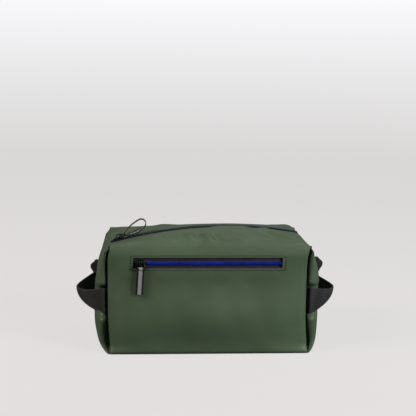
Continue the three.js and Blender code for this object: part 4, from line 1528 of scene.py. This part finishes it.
@dataclass
class SideWebbing:
    """Webbing handle and hang tab on one end of the bag."""

    shell: BagShell
    end: End
    width: float = 28.0
    thickness: float = 1.8
    height: float = 57.0
    back_rise: float = 4.0
    droop: float = 13.0
    root: float = 2.0
    reach: float = 29.0
    curl: float = 16.0
    curl_lift: float = 6.0
    sewn_inset: float = 6.0
    hook_y: float = 50.0
    still_y: float = 50.0
    free_y: float = 10.0
    free_run: float = 38.0
    arch_power: float = 1.7
    push: float = 5.2
    push_up: float = 1.0
    tab_pull: float = 3.0
    tab_thickness: float = 1.4

    def __post_init__(self) -> None:
        """Takes the sewn ends from the bag's depth."""
        self.sewn_y = self.shell.half_depth - self.sewn_inset

    def centre(self, side: Face) -> Array:
        """Middle of the webbing from the middle of the handle to its hidden end, before it curls.

        A wide arch, 1 - |y / sewn end|^1.7 of the reach. Where the arch comes near the panel it bends round, along a
        quadratic Bezier curve, and goes back into the crease. The height droops by a parabola in the middle and rises
        steadily to the back.
        """
        y = spans([0, self.free_run, self.hook_y], [42, 14])
        x = self.shell.half_width + self.root + self.reach * (1 - (y / self.sewn_y) ** self.arch_power)
        wall = float(self.shell.wall(np.array(self.height), self.end)) + self.thickness / 2
        t = np.linspace(0, 1, 18)[1:]
        bend_x = (1 - t) ** 2 * x[-1] + 2 * t * (1 - t) * (wall + 0.4) + t ** 2 * wall
        bend_y = (1 - t) ** 2 * y[-1] + 2 * t * (1 - t) * (self.hook_y + 9) + t ** 2 * (self.hook_y - 1)
        x = np.concatenate([x, bend_x, [wall - 0.3]])
        y = np.concatenate([y, bend_y, [self.hook_y - 6]])
        share = np.minimum(y / self.sewn_y, 1)
        z = self.height + self.back_rise * (1 + side.value * share) / 2 - self.droop * (1 - share ** 2)
        return gridded(self.end.value * x, side.value * y, z)

    def handle(self, side: Face) -> MeshPart:
        """Half of the handle, from its middle to the seam.

        The band's lower edge curls in under the top edge by a power of the distance from the top, most in the middle
        of the handle, and not at all at the seam.
        """
        path = self.centre(side)
        upright = np.tile(ALONG_Z, (len(path), 1))
        rings, uv = carried(path, upright, band_profile(self.width, self.thickness, 25, 4))
        from_top = np.clip((self.width / 2 - uv[..., 1]) / self.width, 0, 1)
        loose = np.clip(1 - (path[:, 1] / self.sewn_y) ** 2, 0, 1)[:, None]
        loose[-19:] = loose[-19:] * np.linspace(1, 0, 19)[:, None]
        rings[..., 0] += self.end.value * loose * (self.push - self.curl * from_top ** 2.0)
        rings[..., 2] += loose * (self.curl_lift * from_top ** 2.5 + self.push_up)
        return capped_rings(rings, uv)

    def tab(self) -> MeshPart:
        """Hang tab: a short length of webbing folded double, its outer end a soft loop that narrows upwards."""
        low, high = node_box(f"{self.end.word}_hang_tab")
        pulled = self.tab_pull if self.end is End.RIGHT else 0.0
        tip = max(abs(low[0]), abs(high[0])) + pulled
        middle_y, middle_z = (low[1] + high[1]) / 2, (low[2] + high[2]) / 2 + pulled
        start = self.shell.half_width - 1.0
        path = teardrop_path(0.9, 1.5, tip - start - 2.2, 18)
        along = path[:, 0] + start
        share = np.clip((along - start) / (tip - start), 0, 1)
        line = gridded(self.end.value * along, middle_y + path[:, 2], middle_z + share ** 2)
        across = np.tile(ALONG_Z, (len(line), 1))
        rings, uv = carried(line, across, band_profile(high[2] - low[2], self.tab_thickness, 15, 4), closed=True)
        v = uv[..., 1] / (high[2] - low[2]) * 2
        rings[..., 0] -= self.end.value * share[:, None] * (5.5 * smooth((v - 0.2) / 0.8) + 4.0 * smooth(-v))
        return ring_band(rings, uv)

    def build(self) -> list[Object]:
        """Builds and dresses the handle's two halves and the tab."""
        made = []
        word = self.end.word
        for side in Face:
            nodes = [f"{word}_handle", f"{word}_handle_{side.word}_end"]
            half = placed(self.handle(side), f"{word}_handle_{side.word}_webbing", WEBBING, nodes)
            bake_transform(half)
            made.append(half)
        made.append(placed(self.tab(), f"{word}_tab_webbing", WEBBING, [f"{word}_hang_tab"], "root"))
        return made


# ---------------------------------------------------------------- studio


@dataclass
class Studio:
    """Pale sweep, soft lights and the camera. Lengths in metres here, as these are Blender's own."""

    camera_place: tuple[float, float, float] = (-0.08805, -1.16603, 0.32001)
    yaw: float = 0.0763
    pitch: float = 0.1472
    roll: float = 0.0140
    lens: float = 94.03
    sensor: float = 36.0
    floor_reach: float = 1.8
    wall_radius: float = 1.6
    wall_top: float = 4.0
    glow: float = 1.1
    # Height over which the sweep's painted light grades from the darker floor to the brighter wall.
    tint_height: float = 0.5
    paper_share: float = 0.12
    below: float = 0.05
    horizon: tuple[float, float, float, float] = (0.12, 0.12, 0.121, 1.0)
    zenith: float = 0.12
    softboxes: tuple[tuple[Any, ...], ...] = (
        ("Overhead softbox", (0.7, -0.1, 1.4), (0.6, 0.5), 3.6, "ffffff"),
        ("Right softbox", (0.72, -0.62, 0.42), (0.35, 0.5), 7.2, "ffffff"),
        ("Left softbox", (-0.85, -0.42, 0.75), (0.4, 0.5), 9, "fff4e6"),
        ("Back softbox", (0.1, 1.3, 1.3), (0.9, 0.4), 1.3, "ffffff"),
    )

    def camera(self) -> None:
        """Camera that looks a little to the right and down, rolled by under a degree."""
        forward = np.array([
            math.sin(self.yaw) * math.cos(self.pitch), math.cos(self.yaw) * math.cos(self.pitch), -math.sin(self.pitch),
        ])
        level = np.array([math.cos(self.yaw), -math.sin(self.yaw), 0.0])
        raised = np.cross(level, forward)
        right = level * math.cos(self.roll) + raised * math.sin(self.roll)
        up = raised * math.cos(self.roll) - level * math.sin(self.roll)
        data = bpy.data.cameras.new("Camera")
        data.lens, data.sensor_width, data.sensor_fit = self.lens, self.sensor, "HORIZONTAL"
        data.clip_start, data.clip_end = 0.01, 50
        obj = bpy.data.objects.new("Camera", data)
        columns = np.eye(4)
        columns[:3, 0], columns[:3, 1], columns[:3, 2], columns[:3, 3] = right, up, -forward, self.camera_place
        obj.matrix_world = Matrix(columns.tolist())
        bpy.context.scene.collection.objects.link(obj)
        bpy.context.scene.camera = obj

    def sweep(self) -> None:
        """Floor that turns up into a wall all round: a profile carried round the Z axis."""
        floor = np.linspace(0.05, self.floor_reach, 12)
        turn = np.linspace(0, math.pi / 2, 16)[1:]
        wall = self.floor_reach + self.wall_radius * np.sin(turn)
        radius = np.concatenate([floor, wall, [self.floor_reach + self.wall_radius]])
        height = np.concatenate([np.zeros(12), self.wall_radius * (1 - np.cos(turn)), [self.wall_top]])
        around = np.linspace(0, 2 * math.pi, 96, endpoint=False)[None, :]
        grid = gridded(radius[:, None] * np.cos(around), radius[:, None] * np.sin(around), height[:, None])
        count = len(radius)
        points = np.concatenate([grid.reshape(-1, 3), [[0.0, 0.0, 0.0]]]) / MM
        j = np.arange(96)
        cap = np.stack([j, (j + 1) % 96, np.full(96, count * 96)], axis=1)
        quads = grid_quads(count, 96, wrap_columns=True).reshape(-1, 4)
        obj = MeshPart(points, quads, cap).build("studio_sweep", sharp=180)
        made = bpy.data.materials.new("Pale paper sweep")
        made.use_nodes = True
        tree = made.node_tree
        tree.nodes.clear()
        place = add(tree, "TexCoord").outputs["Object"]
        height = add(tree, "SeparateXYZ", {"Vector": place}).outputs["Z"]
        # The sweep glows instead of being lit. This is painted light, graded by height from darker and warmer at the
        # floor to brighter and cooler up the wall.
        share = add(tree, "MapRange", {
            "Value": height, "From Min": 0.0, "From Max": self.tint_height, "To Min": 0.0, "To Max": 1.0,
        }).outputs[0]
        painted_light_tint = Finish.blended(tree, share, linear("d9d7d6"), linear("fbfbfe"))
        paper = add(tree, "BsdfDiffuse", {"Color": painted_light_tint, "Roughness": 0.6}).outputs[0]
        glow = add(tree, "Emission", {"Color": painted_light_tint, "Strength": self.glow}).outputs[0]
        lit = add(tree, "MixShader", {0: self.paper_share, 1: glow, 2: paper}).outputs[0]
        add(tree, "OutputMaterial", {"Surface": lit})
        obj.data.materials.append(made)
        obj.visible_diffuse = False
        obj.visible_glossy = False
        obj.visible_shadow = False

    def area(self, name: str, place: Sequence[float], size: Sequence[float], watts: float, colour: str) -> None:
        """Softbox that faces the bag.

        Args:
            name: Name of the light.
            place: Where it stands.
            size: Width and height.
            watts: Its power.
            colour: sRGB hex colour of its light.
        """
        data = bpy.data.lights.new(name, "AREA")
        data.shape, data.size, data.size_y = "RECTANGLE", size[0], size[1]
        data.energy, data.color = watts, linear(colour)[:3]
        obj = bpy.data.objects.new(name, data)
        obj.location = place
        obj.rotation_mode = "QUATERNION"
        obj.rotation_quaternion = (Vector((0, 0, 0.06)) - Vector(place)).to_track_quat("-Z", "Y")
        bpy.context.scene.collection.objects.link(obj)

    def room(self) -> None:
        """Even light from the room, strongest at the horizon and weakest from below."""
        world = bpy.data.worlds.new("Studio room")
        world.use_nodes = True
        tree = world.node_tree
        tree.nodes.clear()
        direction = add(tree, "TexCoord").outputs["Generated"]
        up = add(tree, "SeparateXYZ", {"Vector": direction}).outputs["Z"]
        share = add(tree, "MapRange", {
            "Value": up, "From Min": -0.25, "From Max": 0.35, "To Min": 0.0, "To Max": 1.0,
        }).outputs[0]
        level = Finish.blended(tree, share, (*[self.below] * 3, 1.0), self.horizon)
        high = add(tree, "MapRange", {"Value": up, "From Min": 0.2, "From Max": 0.9, "To Min": 0.0, "To Max": 1.0})
        colour = Finish.blended(tree, high.outputs[0], level, (*[self.zenith] * 3, 1.0))
        light = add(tree, "Background", {"Color": colour, "Strength": 1.0}).outputs[0]
        add(tree, "OutputWorld", {"Surface": light})
        bpy.context.scene.world = world

    def build(self) -> None:
        """Sets up camera, sweep, lights and view."""
        self.camera()
        self.sweep()
        self.room()
        for softbox in self.softboxes:
            self.area(*softbox)
        bpy.context.scene.view_settings.view_transform = "Standard"
        bpy.context.scene.view_settings.look = "None"


def main() -> None:
    logging.basicConfig(level=logging.INFO, format="%(name)s: %(message)s")
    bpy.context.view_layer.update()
    Studio().build()
    shell = BagShell()
    builders = [shell, Inside(), TopZip(shell), PocketZip(shell), *[SideWebbing(shell, end) for end in End]]
    for builder in builders:
        for obj in builder.build():
            log.info("%s: %s, %d faces", type(builder).__name__, obj.name, len(obj.data.polygons))


if __name__ == "__main__":
    main()
